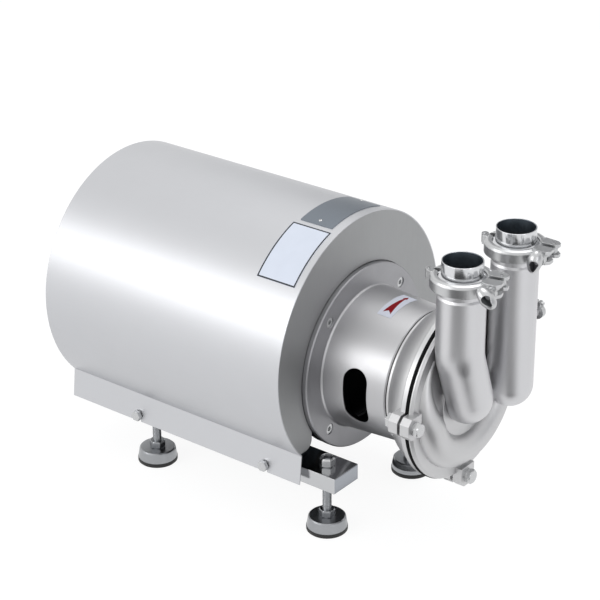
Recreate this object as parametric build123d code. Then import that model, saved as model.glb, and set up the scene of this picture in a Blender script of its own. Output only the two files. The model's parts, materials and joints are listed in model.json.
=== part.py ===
from build123d import *
from math import cos, degrees, radians, sin, sqrt, tan
import os

# A close-coupled sanitary centrifugal pump on levelling feet, in millimetres.
# X runs along the shaft towards the pump head, Y across, Z up. While the pieces are made,
# x = 0 is the front face of the adapter flange and z = 0 is the floor.

# clearances
SEAT_GAP = 0.1
RUN_GAP = 0.05
MOVE_GAP = 0.3

# rails and levelling feet
RAIL_WIDTH = 50.0
RAIL_HEIGHT = 22.0
RAIL_BOTTOM = 74.0
RAIL_FRONT_OVERHANG = 31.0
RAIL_REAR_OVERHANG = 31.0
RAIL_LAND_HEIGHT = 4.0
RAIL_TO_BEND = 6.6
FOOT_FRONT_X = 10.0
FOOT_REAR_X = -285.0
SOLE_RADIUS = 27.3
SOLE_HEIGHT = 6.0
PAD_HEIGHT = 15.0
PAD_TOP_RADIUS = 24.75
PAD_BASE_RADIUS = 26.75
STUD_RADIUS = 6.0
STUD_HEX_ACROSS = 19.0
STUD_HEX_HEIGHT = 10.0
STUD_PIN_RADIUS = 5.0
STUD_PIN_DEPTH = 8.0
STUD_BELOW_NUT = 1.0
LOCK_NUT_ACROSS = 19.0
LOCK_NUT_HEIGHT = 12.0
LOCK_NUT_CORNER = 2.0
LOCK_RING_RADIUS = 7.6
LOCK_RING_DEPTH = 2.5

# motor, frame size 112
MOTOR_GROUND_GAP = 14.0
MOTOR_FOOT_LENGTH = 176.0
MOTOR_FOOT_WIDTH = 46.0
MOTOR_FOOT_THICKNESS = 12.0
MOTOR_HOLE_NEAR_X = -78.0
MOTOR_HOLE_PITCH = 140.0
MOTOR_BOLT_RADIUS = 5.0
MOTOR_BOLT_HEAD_ACROSS = 16.0
MOTOR_BOLT_HEAD_HEIGHT = 6.4
MOTOR_BOLT_LENGTH = 30.0
MOTOR_WEB_THICKNESS = 16.0
MOTOR_WEB_INNER_Y = 48.0
MOTOR_WEB_INSET = 8.0
MOTOR_WEB_DROP = 50.0
FRAME_RADIUS = 98.0
FRAME_WALL = 13.0
FRAME_FRONT_X = -42.0
FRAME_REAR_X = -262.0
FIN_COUNT = 36
FIN_HEIGHT = 11.0
FIN_THICKNESS = 3.0
FIN_ROOT = 4.0
FIN_END_GAP = 12.0
FIN_CLEAR_ANGLE = 34.0
FOOT_ANGLE = 136.0
FOOT_CLEAR_ANGLE = 22.0
BOX_SEAT_HEIGHT = 10.0
FLANGE_BOLT_OUT = 9.5
FLANGE_EDGE = 17.5
FLANGE_BOLT_ANGLES = (45, 135, 225, 315)
FLANGE_THICKNESS = 11.0
FLANGE_SPIGOT_STEP = 4.7
FLANGE_SPIGOT_HEIGHT = 4.0
BEARING_RADIUS = 31.0
BEARING_BORE = 15.0
BEARING_WIDTH = 16.0
BEARING_RING = 5.5
SHIELD_HUB_WALL = 9.0
SHIELD_HUB_FLARE = 7.0
SHIELD_WEB_STEP = 2.0
SHIELD_RIM_WALL = 8.0
SHIELD_OVERLAP = 5.0
SHIELD_NECK = 4.0
SHIELD_FLANGE_STEP = 0.5
SHAFT_CLEARANCE = 3.0
REAR_BEARING_STEP = 4.0
REAR_WEB_STEP = 6.0
REAR_RIM_STEP = 4.0
FRONT_BEARING_X = -36.0
REAR_SHIELD_THICKNESS = 20.0
SHAFT_RADIUS = 14.0
SHAFT_LENGTH = 60.0
SHAFT_CORE_RADIUS = 20.0
FAN_SEAT_RADIUS = 12.5
STATOR_LENGTH = 130.0
STATOR_DEPTH = 29.5
WINDING_LENGTH = 24.0
WINDING_INSET = 8.4
ROTOR_GAP = 0.5
FAN_RADIUS = 82.0
FAN_HUB_RADIUS = 22.0
FAN_WIDTH = 28.0
FAN_BLADES = 9
FAN_BLADE_THICKNESS = 3.0
FAN_GAP = 6.0
FAN_PLATE = 4.0
FAN_BLADE_INSET = 2.0
COWL_OVERLAP = 6.0
COWL_LENGTH = 66.0
COWL_WALL = 1.5
COWL_CORNER = 10.0
COWL_SLOTS = 12
COWL_SLOT_WIDTH = 8.0
COWL_SLOT_INNER = 26.0
COWL_SLOT_OUTER = 78.0
BOX_LENGTH = 104.0
BOX_WIDTH = 96.0
BOX_HEIGHT = 46.0
BOX_WALL = 4.0
BOX_CORNER = 8.0
LID_HEIGHT = 9.0
LID_EDGE = 3.0
GLAND_RADIUS = 12.0
GLAND_LENGTH = 26.0
GLAND_HEX_LENGTH = 10.0
GLAND_CAP_STEP = 1.0
GLAND_THREAD_RADIUS = 8.0
GLAND_BORE = 5.0

# shroud
SHROUD_RADIUS = 172.8
SHROUD_AXIS_ABOVE_SHAFT = 21.6
SHROUD_FRONT_X = -7.0
SHROUD_LENGTH = 399.0
SHEET = 1.5
BEND_HEIGHT = 116.0
SKIRT_BOTTOM = 76.0
SKIRT_FLARE = 4.6
PLATE_BOTTOM = 120.0
PLATE_HOLE_GAP = 0.9
PLATE_LEG_WIDTH = 21.5
PLATE_LEG_CORNER = 13.0
VENT_ROWS = 8
VENT_HEIGHT = 8.0
VENT_PITCH = 26.0
VENT_LENGTH = 92.0
SKIRT_BOLT_FRONT_X = -65.0
SKIRT_BOLT_REAR_X = -285.0
SKIRT_BOLT_RADIUS = 4.0
SKIRT_BOLT_HEAD_ACROSS = 13.0
SKIRT_BOLT_HEAD_HEIGHT = 5.3
SKIRT_BOLT_DEPTH = 14.0
SKIRT_SPACER_RADIUS = 8.0
SKIRT_NOTCH_RADIUS = 4.6

# lantern and pump shaft
LANTERN_FLANGE = 8.0
FLANGE_BACK_EDGE = 0.6
FLANGE_FRONT_EDGE = 1.3
LANTERN_ROOT_CORNER = 2.0
LANTERN_END_CORNER = 2.0
LANTERN_INNER_STEP = 4.0
LANTERN_ROOT_STEP = 12.8
LANTERN_TAPER = 5.2
LANTERN_LENGTH = 95.0
LANTERN_WALL = 5.0
LANTERN_END_WALL = 6.0
LANTERN_END_BORE = 60.0
WINDOW_WIDTH = 35.0
WINDOW_HEIGHT = 78.0
WINDOW_X = 50.0
WINDOW_DROP = 7.5
ADAPTER_BOLT_RADIUS = 6.0
ADAPTER_HEAD_RADIUS = 7.0
ADAPTER_HEAD_HEIGHT = 4.5
ADAPTER_HEAD_SUNK = 1.2
PUMP_SLEEVE_RADIUS = 23.0
PUMP_SLEEVE_START = 12.0
PUMP_SLEEVE_END = 100.0
PUMP_SHAFT_RADIUS = 13.0
PUMP_THREAD_RADIUS = 8.0

# casing
CASING_RADIUS = 118.0
COVER_RIM = 8.0
COVER_NECK_STEP = 1.5
COVER_BELL = 3.4
COVER_RIM_STEP = 4.5
COVER_SPOT_RADIUS = 10.5
COVER_LENGTH = 50.8
COVER_WALL = 4.0
GASKET_THICKNESS = 4.0
GASKET_RADIUS = 116.5
CHAMBER_RADIUS = 104.0
CHAMBER_BACK_DEPTH = 6.0
RIM_THICKNESS = 5.2
FRONT_WALL = 4.0
BOSS_RADIUS = 54.4
BOSS_HEIGHT = 4.0
BOSS_DROP = 6.0
EYE_RADIUS = 26.0
BOLT_CIRCLE_RADIUS = 121.0
LUG_ANGLES = (0, 90, 180, 270)
LUG_HALF_WIDTH = 14.5
LUG_REACH = 13.5
LUG_CORNER = 7.0
LUG_THICKNESS = 13.0
LUG_ROOT = 14.0
CASING_BOLT_RADIUS = 5.0
CASING_BOLT_ACROSS = 17.0
CASING_HEAD_HEIGHT = 6.4
CASING_NUT_HEIGHT = 8.0
CASING_WASHER_RADIUS = 9.0
CASING_WASHER_HEIGHT = 2.4
HORN_ANGLE = 136.0
CHANNEL_FULL_ANGLE = 200.0
CHANNEL_END_ANGLE = 366.0
HORN_RADIUS = 97.0
CHANNEL_RADIUS = 80.0
HORN_SIZE = 5.5
CHANNEL_SIZE = 23.0
CHANNEL_WALL = 3.0
HORN_SECTIONS = 5

# seal and impeller
SEAT_RADIUS = 25.0
SEAT_LENGTH = 7.0
SEAL_BORE_RADIUS = 15.5
SEAL_RING_RADIUS = 21.0
IMPELLER_RADIUS = 74.0
IMPELLER_HUB_RADIUS = 19.0
IMPELLER_PLATE = 3.0
IMPELLER_SIDE_GAP = 1.4
IMPELLER_BLADES = 6
BLADE_THICKNESS = 3.2
IMPELLER_SEAT_RADIUS = 11.0
NUT_RADIUS = 13.0
NUT_HEX_ACROSS = 22.0

# suction and discharge pipes
PORT_X = 185.5
PORT_SPACING = 117.0
PORT_SHIFT = -4.5
SUCTION_TOP = 209.0
DISCHARGE_TOP = 212.0
PIPE_RADIUS = 30.0
PIPE_WALL = 2.0
PIPE_KNEE_HEIGHT = 84.0
PIPE_KNEE_RADIUS = 50.0
PIPE_ELBOW_RADIUS = 31.0
PIPE_ELBOW_X = 177.0
PIPE_ELBOW_Y = -21.0
PIPE_ELBOW_DROP = 4.0
PIPE_EYE_X = 148.0
PIPE_EYE_Y = -2.0
PIPE_EYE_DROP = 7.0
DISCHARGE_END_DROP = 2.5
STUB_RADIUS = 21.5
TUBE_RADIUS = 25.4
TUBE_WALL = 1.5
FERRULE_RADIUS = 32.0
FERRULE_EDGE = 2.0
FERRULE_SLOPE = 20.0
FERRULE_LENGTH = 23.2
FERRULE_GASKET = 1.6
COLLAR_RADIUS = 28.5
COLLAR_LENGTH = 19.0
SHOULDER_HEIGHT = 3.0

# hinged tube clamps
SUCTION_CLAMP_TURN = 13.0
DISCHARGE_CLAMP_TURN = 6.0
CLAMP_RADIUS = 39.0
CLAMP_HEIGHT = 13.0
CLAMP_BORE = 29.5
CLAMP_SPLIT = 8.0
CLAMP_SHOULDER = 5.0
CLAMP_SHOULDER_DROP = 3.8
CLAMP_LIP_EDGE = 1.0
HINGE_X = -42.0
KNUCKLE_RADIUS = 4.5
HINGE_PIN_RADIUS = 2.2
HINGE_TONGUE = 4.4
EAR_X = 45.5
EAR_TIP = 54.0
EAR_SLOT = 9.0
EAR_HEIGHT = 17.0
EAR_TAPER = 3.0
EAR_WIDTH = 14.0
BOLT_PIN_OFFSET = 11.0
BOLT_PIN_RADIUS = 2.2
BOLT_EYE_RADIUS = 5.2
CLAMP_BOLT_RADIUS = 3.8
CLAMP_BOLT_LENGTH = 47.3
EAR_REACH = 32.0
EAR_ROOT = 9.0
EAR_CORNER = 5.0
EAR_SLOPE = 3.0
WING_HUB_RADIUS = 6.8
WING_HUB_LENGTH = 13.0
WING_START = 6.0
WING_END = 24.0
WING_LENGTH = 31.0
WING_WIDTH = 13.0
WING_WALL = 2.2
WING_DISH = 11.5
WING_ROUND = 16.0
SUCTION_WING_ANGLE = -48.0
DISCHARGE_WING_ANGLE = 80.0

# side port on the discharge pipe
SIDE_PORT_HEIGHT = 74.0
SIDE_TUBE_RADIUS = 5.0
SIDE_TUBE_WALL = 1.2
SIDE_FERRULE_RADIUS = 7.5
SIDE_FERRULE_EDGE = 2.0
SIDE_PORT_REACH = 30.0
SIDE_GASKET = 1.6
SIDE_CAP_THICKNESS = 5.0
SIDE_CLAMP_RADIUS = 9.6
SIDE_CLAMP_WIDTH = 7.0
SIDE_EAR_HEIGHT = 5.0
SIDE_BOLT_RADIUS = 1.3
SIDE_NUT_ACROSS = 4.6

# worked-out places
rail_top = RAIL_BOTTOM + RAIL_HEIGHT
motor_foot_z = rail_top + RAIL_LAND_HEIGHT
motor_centre_height = FRAME_RADIUS + MOTOR_GROUND_GAP
shaft_z = motor_foot_z + motor_centre_height
rail_front = FOOT_FRONT_X + RAIL_FRONT_OVERHANG
rail_rear = FOOT_REAR_X - RAIL_REAR_OVERHANG
motor_hole_xs = [MOTOR_HOLE_NEAR_X, MOTOR_HOLE_NEAR_X - MOTOR_HOLE_PITCH]
shroud_rear = SHROUD_FRONT_X - SHROUD_LENGTH
shroud_z = shaft_z + SHROUD_AXIS_ABOVE_SHAFT
skirt_bolt_z = RAIL_BOTTOM + RAIL_HEIGHT / 2
bend_y = sqrt(SHROUD_RADIUS ** 2 - (shroud_z - BEND_HEIGHT) ** 2)
rail_y = bend_y - RAIL_TO_BEND - RAIL_WIDTH / 2
plate_mouth = bend_y - PLATE_LEG_WIDTH
frame_bore = FRAME_RADIUS - FRAME_WALL
stator_bore = frame_bore - STATOR_DEPTH
cowl_radius = FRAME_RADIUS + SEAT_GAP + COWL_WALL
flange_bolt_radius = FRAME_RADIUS + FLANGE_BOLT_OUT
flange_radius = flange_bolt_radius + FLANGE_EDGE
lantern_root_radius = flange_bolt_radius - LANTERN_ROOT_STEP
lantern_end_radius = lantern_root_radius - LANTERN_TAPER
spigot_radius = lantern_root_radius - FLANGE_SPIGOT_STEP
cover_neck_radius = lantern_end_radius - COVER_NECK_STEP
flange_front = -LANTERN_FLANGE
rear_shield_end = FRAME_REAR_X - REAR_SHIELD_THICKNESS
rear_bearing_x = FRAME_REAR_X + REAR_BEARING_STEP - BEARING_WIDTH
cowl_front = FRAME_REAR_X - 4
stator_front = (FRAME_FRONT_X + FRAME_REAR_X + STATOR_LENGTH) / 2
cover_front = LANTERN_LENGTH + COVER_LENGTH
casing_back = cover_front + GASKET_THICKNESS
casing_front = casing_back + RIM_THICKNESS
chamber_back = cover_front - CHAMBER_BACK_DEPTH
chamber_front = casing_front - FRONT_WALL
boss_front = casing_front + BOSS_HEIGHT
seat_back = chamber_back - 15.0
impeller_back = chamber_back + IMPELLER_SIDE_GAP
impeller_front = chamber_front - IMPELLER_SIDE_GAP
pump_shaft_end = impeller_front + 7.0
suction_y = PORT_SHIFT - PORT_SPACING / 2
discharge_y = PORT_SHIFT + PORT_SPACING / 2
ferrule_tan = tan(radians(FERRULE_SLOPE))
suction_joint_z = shaft_z + SUCTION_TOP - FERRULE_LENGTH - FERRULE_GASKET / 2
discharge_joint_z = shaft_z + DISCHARGE_TOP - FERRULE_LENGTH - FERRULE_GASKET / 2


def bar(x0, x1, y0, y1, z0, z1):
    return Pos((x0 + x1) / 2, (y0 + y1) / 2, (z0 + z1) / 2) * Box(x1 - x0, y1 - y0, z1 - z0)


def rod_x(radius, x0, x1, y=0.0, z=0.0):
    return Pos((x0 + x1) / 2, y, z) * Rot(0, 90, 0) * Cylinder(radius, x1 - x0)


def rod_y(radius, y0, y1, x=0.0, z=0.0):
    return Pos(x, (y0 + y1) / 2, z) * Rot(90, 0, 0) * Cylinder(radius, y1 - y0)


def rod_z(radius, z0, z1, x=0.0, y=0.0):
    return Pos(x, y, (z0 + z1) / 2) * Cylinder(radius, z1 - z0)


def hexagon_z(across, z0, z1, x=0.0, y=0.0):
    return Pos(x, y, z0) * extrude(RegularPolygon(across / 2, 6, major_radius=False), z1 - z0)


def hexagon_x(across, x0, x1, y=0.0, z=0.0):
    return Pos(x0, y, z) * Rot(0, 90, 0) * extrude(RegularPolygon(across / 2, 6, major_radius=False), x1 - x0)


def turned(points):
    """A solid of revolution about the X axis from (x, radius) points."""
    return revolve(make_face(Polyline(*points, close=True)), Axis.X)


def turned_z(points):
    """A solid of revolution about the Z axis from (radius, z) points."""
    profile = make_face(Polyline(*[(r, 0, z) for r, z in points], close=True))
    return revolve(profile, Axis.Z)


def at_shaft(shape):
    return Pos(0, 0, shaft_z) * shape


def group(pieces):
    """Separate solids kept together in one node."""
    return Compound([solid for piece in pieces for solid in piece.solids()])


def both_sides(make):
    return [make(-rail_y), make(rail_y)]


def make_rail(y):
    side = 1 if y > 0 else -1
    rail = bar(rail_rear, rail_front, y - RAIL_WIDTH / 2, y + RAIL_WIDTH / 2, RAIL_BOTTOM, rail_top)
    rail = chamfer(rail.edges().group_by(Axis.X)[-1] + rail.edges().group_by(Axis.X)[0], 0.8)
    land_x = (motor_hole_xs[0] + motor_hole_xs[1]) / 2
    land = Pos(land_x, y, rail_top + RAIL_LAND_HEIGHT / 2) * Box(
        MOTOR_FOOT_LENGTH, MOTOR_FOOT_WIDTH, RAIL_LAND_HEIGHT)
    rail = rail + land
    for x in (FOOT_FRONT_X, FOOT_REAR_X):
        rail -= rod_z(STUD_RADIUS + RUN_GAP, RAIL_BOTTOM - 1, rail_top + 1, x, y)
    bolt_depth = MOTOR_BOLT_LENGTH - MOTOR_FOOT_THICKNESS
    for x in motor_hole_xs:
        rail -= rod_z(MOTOR_BOLT_RADIUS + RUN_GAP, motor_foot_z - bolt_depth, motor_foot_z + 1, x, y)
    face_y = y + side * RAIL_WIDTH / 2
    for x in (SKIRT_BOLT_FRONT_X, SKIRT_BOLT_REAR_X):
        ends = sorted((face_y + side, face_y - side * SKIRT_BOLT_DEPTH))
        rail -= rod_y(SKIRT_BOLT_RADIUS + RUN_GAP, ends[0], ends[1], x, skirt_bolt_z)
    return rail


def make_sole(x, y):
    sole = turned_z([(0, 0), (SOLE_RADIUS - 1.5, 0), (SOLE_RADIUS, 1.5), (SOLE_RADIUS, SOLE_HEIGHT), (0, SOLE_HEIGHT)])
    return Pos(x, y, 0) * sole


def make_pad(x, y):
    top = SOLE_HEIGHT + PAD_HEIGHT
    rim = [(PAD_BASE_RADIUS, SOLE_HEIGHT), (PAD_BASE_RADIUS, SOLE_HEIGHT + 2.5), (PAD_TOP_RADIUS, top - 1.5)]
    crown = [(PAD_TOP_RADIUS - 1.5, top), (STUD_PIN_RADIUS + RUN_GAP, top)]
    socket = [(STUD_PIN_RADIUS + RUN_GAP, top - STUD_PIN_DEPTH - SEAT_GAP), (0, top - STUD_PIN_DEPTH - SEAT_GAP)]
    return Pos(x, y, 0) * turned_z([(0, SOLE_HEIGHT)] + rim + crown + socket)


def make_stud(x, y):
    base = SOLE_HEIGHT + PAD_HEIGHT
    hex_top = base + STUD_HEX_HEIGHT
    end = rail_top + LOCK_NUT_HEIGHT - STUD_BELOW_NUT
    pin = rod_z(STUD_PIN_RADIUS, base - STUD_PIN_DEPTH, base + 1)
    shank = rod_z(STUD_RADIUS, hex_top - 1, end)
    shank = chamfer(shank.edges().group_by(Axis.Z)[-1], 1.0)
    return Pos(x, y, 0) * (pin + hexagon_z(STUD_HEX_ACROSS, base, hex_top) + shank)


def make_lock_nuts():
    nuts = []
    for x in (FOOT_FRONT_X, FOOT_REAR_X):
        for y in (-rail_y, rail_y):
            nut = hexagon_z(LOCK_NUT_ACROSS, rail_top, rail_top + LOCK_NUT_HEIGHT, x, y)
            flat = LOCK_NUT_ACROSS / 2
            round_off = Pos(x, y, rail_top) * turned_z([
                (0, 0), (flat, 0), (flat + LOCK_NUT_CORNER, LOCK_NUT_CORNER / 2),
                (flat + LOCK_NUT_CORNER, LOCK_NUT_HEIGHT - LOCK_NUT_CORNER / 2), (flat, LOCK_NUT_HEIGHT),
                (0, LOCK_NUT_HEIGHT)])
            top = rail_top + LOCK_NUT_HEIGHT
            bore = rod_z(STUD_RADIUS + RUN_GAP, rail_top - 1, top + 1, x, y)
            ring = rod_z(LOCK_RING_RADIUS, top - LOCK_RING_DEPTH, top + 1, x, y)
            nuts.append((nut & round_off) - bore - ring)
    return group(nuts)


def make_motor_frame():
    frame = rod_x(FRAME_RADIUS, FRAME_REAR_X, FRAME_FRONT_X)
    fin_angles = [360 / FIN_COUNT * i for i in range(FIN_COUNT)]
    for angle in fin_angles:
        from_top = abs((angle + 180) % 360 - 180)
        if from_top < FIN_CLEAR_ANGLE or abs(from_top - FOOT_ANGLE) < FOOT_CLEAR_ANGLE:
            continue
        fin = Pos(0, 0, FRAME_RADIUS + (FIN_HEIGHT - FIN_ROOT) / 2) * Box(
            FRAME_FRONT_X - FRAME_REAR_X - 2 * FIN_END_GAP, FIN_THICKNESS, FIN_HEIGHT + FIN_ROOT)
        frame += Pos((FRAME_FRONT_X + FRAME_REAR_X) / 2, 0, 0) * Rot(angle, 0, 0) * fin
    seat_root = frame_bore + 1
    seat_height = FRAME_RADIUS + BOX_SEAT_HEIGHT - seat_root
    box_seat = Pos(box_x(), 0, seat_root + seat_height / 2) * Box(BOX_LENGTH, BOX_WIDTH, seat_height)
    frame += box_seat
    foot_x = (motor_hole_xs[0] + motor_hole_xs[1]) / 2
    for y in (-rail_y, rail_y):
        side = 1 if y > 0 else -1
        foot = Pos(foot_x, y, MOTOR_FOOT_THICKNESS / 2 - motor_centre_height) * Box(
            MOTOR_FOOT_LENGTH, MOTOR_FOOT_WIDTH, MOTOR_FOOT_THICKNESS)
        web_ends = sorted((side * MOTOR_WEB_INNER_Y, y - side * MOTOR_WEB_INSET))
        half_web = MOTOR_WEB_THICKNESS / 2
        end_web = MOTOR_FOOT_LENGTH / 2 - half_web
        for x in (foot_x - end_web, foot_x, foot_x + end_web):
            foot += bar(x - half_web, x + half_web, web_ends[0], web_ends[1], -motor_centre_height, -MOTOR_WEB_DROP)
        frame += foot
    frame -= rod_x(frame_bore, FRAME_REAR_X - 1, FRAME_FRONT_X + 1)
    for x in motor_hole_xs:
        for y in (-rail_y, rail_y):
            foot_top = MOTOR_FOOT_THICKNESS - motor_centre_height
            frame -= rod_z(MOTOR_BOLT_RADIUS + 1, -motor_centre_height - 1, foot_top + 1, x, y)
    return at_shaft(frame)


def make_front_shield():
    seat = BEARING_RADIUS + RUN_GAP
    bearing_front = FRONT_BEARING_X + BEARING_WIDTH
    back = flange_front - FLANGE_THICKNESS
    spigot_x = flange_front + FLANGE_SPIGOT_HEIGHT
    inner = frame_bore
    shield = turned([
        (FRONT_BEARING_X, seat), (FRONT_BEARING_X, seat + SHIELD_HUB_WALL),
        (back - SHIELD_WEB_STEP, seat + SHIELD_HUB_WALL + SHIELD_HUB_FLARE),
        (back - SHIELD_WEB_STEP, inner - SHIELD_RIM_WALL), (FRAME_FRONT_X - SHIELD_OVERLAP, inner - SHIELD_RIM_WALL),
        (FRAME_FRONT_X - SHIELD_OVERLAP, inner - SEAT_GAP), (FRAME_FRONT_X, inner - SEAT_GAP),
        (FRAME_FRONT_X, FRAME_RADIUS + SHIELD_NECK), (back, FRAME_RADIUS + SHIELD_NECK),
        (back, flange_radius - SHIELD_FLANGE_STEP), (flange_front, flange_radius - SHIELD_FLANGE_STEP),
        (flange_front, spigot_radius), (spigot_x, spigot_radius), (spigot_x, SHAFT_RADIUS + SHAFT_CLEARANCE),
        (bearing_front, SHAFT_RADIUS + SHAFT_CLEARANCE), (bearing_front, seat)])
    for angle in FLANGE_BOLT_ANGLES:
        y = flange_bolt_radius * cos(radians(angle))
        z = flange_bolt_radius * sin(radians(angle))
        shield -= rod_x(ADAPTER_BOLT_RADIUS + RUN_GAP, back - 1, flange_front + 1, y, z)
    return at_shaft(shield)


def make_rear_shield():
    seat = BEARING_RADIUS + RUN_GAP
    inner = frame_bore
    hub_front = rear_bearing_x + BEARING_WIDTH
    web_x = FRAME_REAR_X - REAR_WEB_STEP
    rim_front = FRAME_REAR_X + SHIELD_OVERLAP
    return at_shaft(turned([
        (rear_bearing_x, seat), (hub_front, seat), (hub_front, seat + SHIELD_HUB_WALL),
        (web_x, seat + SHIELD_HUB_WALL + SHIELD_HUB_FLARE), (web_x, inner - SHIELD_RIM_WALL),
        (rim_front, inner - SHIELD_RIM_WALL), (rim_front, inner - SEAT_GAP), (FRAME_REAR_X, inner - SEAT_GAP),
        (FRAME_REAR_X, FRAME_RADIUS), (cowl_front - COWL_OVERLAP, FRAME_RADIUS),
        (rear_shield_end, FRAME_RADIUS - REAR_RIM_STEP), (rear_shield_end, BEARING_BORE + SHAFT_CLEARANCE),
        (rear_bearing_x, BEARING_BORE + SHAFT_CLEARANCE)]))


def make_stator():
    outer = frame_bore - SEAT_GAP
    rear = stator_front - STATOR_LENGTH
    core = rod_x(outer, rear, stator_front)
    winding = rod_x(outer - WINDING_INSET, rear - WINDING_LENGTH, stator_front + WINDING_LENGTH)
    bore = rod_x(stator_bore, rear - 1, stator_front + 1)
    wide = rod_x(stator_bore + 3, stator_front, stator_front + WINDING_LENGTH + 1)
    wide += rod_x(stator_bore + 3, rear - WINDING_LENGTH - 1, rear)
    return at_shaft(core + winding - bore - wide)


def make_rotor_core():
    rear = stator_front - STATOR_LENGTH
    core = rod_x(stator_bore - ROTOR_GAP, rear, stator_front)
    core += rod_x(stator_bore - 8, rear - 8, stator_front + 8)
    return at_shaft(core - rod_x(SHAFT_CORE_RADIUS + RUN_GAP, rear - 10, stator_front + 10))


def make_motor_shaft():
    front = rod_x(BEARING_BORE, stator_front + 20, FRONT_BEARING_X + BEARING_WIDTH + 2)
    nose = rod_x(SHAFT_RADIUS, FRONT_BEARING_X, SHAFT_LENGTH)
    nose = chamfer(nose.edges().group_by(Axis.X)[-1], 1.0)
    core_front = FRONT_BEARING_X - 2
    core_rear = FRAME_REAR_X + 6
    core = rod_x(SHAFT_CORE_RADIUS, core_rear, core_front)
    rear = rod_x(BEARING_BORE, rear_bearing_x - 2, core_rear + 1)
    fan_seat = rod_x(FAN_SEAT_RADIUS, rear_shield_end - FAN_GAP - FAN_WIDTH, rear_bearing_x)
    return at_shaft(core + front + nose + rear + fan_seat)


def bearing_ring(x, inner, outer):
    ring = rod_x(outer, x, x + BEARING_WIDTH) - rod_x(inner, x - 1, x + BEARING_WIDTH + 1)
    return at_shaft(ring)


def make_bearing_rings(inner, outer):
    return group([bearing_ring(FRONT_BEARING_X, inner, outer), bearing_ring(rear_bearing_x, inner, outer)])


def make_fan():
    front = rear_shield_end - FAN_GAP
    rear = front - FAN_WIDTH
    hub = rod_x(FAN_HUB_RADIUS, rear, front)
    fan = hub + rod_x(FAN_RADIUS, front - FAN_PLATE, front)
    for i in range(FAN_BLADES):
        blade = bar(rear, front - FAN_BLADE_INSET, -FAN_BLADE_THICKNESS / 2, FAN_BLADE_THICKNESS / 2,
                    FAN_HUB_RADIUS - FAN_BLADE_INSET, FAN_RADIUS - FAN_BLADE_INSET)
        fan += Rot(360 / FAN_BLADES * i, 0, 0) * blade
    return at_shaft(fan - rod_x(FAN_SEAT_RADIUS + RUN_GAP, rear - 1, front + 1))


def make_fan_cowl():
    front = cowl_front
    rear = front - COWL_LENGTH
    inside_corner = COWL_CORNER + COWL_WALL * (sqrt(2) - 1)
    cowl = turned([
        (front, cowl_radius), (rear + COWL_CORNER, cowl_radius), (rear, cowl_radius - COWL_CORNER), (rear, 0),
        (rear + COWL_WALL, 0), (rear + COWL_WALL, cowl_radius - inside_corner),
        (rear + inside_corner, cowl_radius - COWL_WALL), (front, cowl_radius - COWL_WALL)])
    for i in range(COWL_SLOTS):
        slot = bar(
            rear - 1, rear + COWL_WALL + 1, -COWL_SLOT_WIDTH / 2, COWL_SLOT_WIDTH / 2, COWL_SLOT_INNER,
            COWL_SLOT_OUTER)
        cowl -= Rot(360 / COWL_SLOTS * i, 0, 0) * slot
    return at_shaft(cowl)


def box_x():
    return stator_front - STATOR_LENGTH / 2


def make_terminal_box():
    base = FRAME_RADIUS + BOX_SEAT_HEIGHT
    outer = Pos(box_x(), 0, base + BOX_HEIGHT / 2) * Box(BOX_LENGTH, BOX_WIDTH, BOX_HEIGHT)
    outer = fillet(outer.edges().filter_by(Axis.Z), BOX_CORNER)
    cavity = Pos(box_x(), 0, base + BOX_WALL + BOX_HEIGHT / 2) * Box(
        BOX_LENGTH - 2 * BOX_WALL, BOX_WIDTH - 2 * BOX_WALL, BOX_HEIGHT)
    gland_hole = rod_x(GLAND_THREAD_RADIUS + RUN_GAP, box_x() - BOX_LENGTH, box_x(), 0, base + BOX_HEIGHT / 2)
    return at_shaft(outer - cavity - gland_hole)


def make_terminal_lid():
    base = FRAME_RADIUS + BOX_SEAT_HEIGHT + BOX_HEIGHT
    lid = Pos(box_x(), 0, base + LID_HEIGHT / 2) * Box(BOX_LENGTH, BOX_WIDTH, LID_HEIGHT)
    lid = fillet(lid.edges().filter_by(Axis.Z), BOX_CORNER)
    lid = fillet(lid.edges().group_by(Axis.Z)[-1], LID_EDGE)
    return at_shaft(lid)


def make_cable_gland():
    z = FRAME_RADIUS + BOX_SEAT_HEIGHT + BOX_HEIGHT / 2
    wall_x = box_x() - BOX_LENGTH / 2
    body = hexagon_x(2 * GLAND_RADIUS, wall_x - GLAND_HEX_LENGTH, wall_x, 0, z)
    body += rod_x(GLAND_RADIUS - GLAND_CAP_STEP, wall_x - GLAND_LENGTH, wall_x - GLAND_HEX_LENGTH + 1, 0, z)
    body += rod_x(GLAND_THREAD_RADIUS, wall_x - 1, wall_x + BOX_WALL + 3, 0, z)
    return at_shaft(body - rod_x(GLAND_BORE, wall_x - GLAND_LENGTH - 1, wall_x + BOX_WALL + 4, 0, z))


def make_motor_bolts():
    bolts = []
    head_z = motor_foot_z + MOTOR_FOOT_THICKNESS
    for x in motor_hole_xs:
        for y in (-rail_y, rail_y):
            head = hexagon_z(MOTOR_BOLT_HEAD_ACROSS, head_z, head_z + MOTOR_BOLT_HEAD_HEIGHT, x, y)
            shank = rod_z(MOTOR_BOLT_RADIUS, head_z - MOTOR_BOLT_LENGTH + 1, head_z + 1, x, y)
            bolts.append(head + shank)
    return group(bolts)


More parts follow.
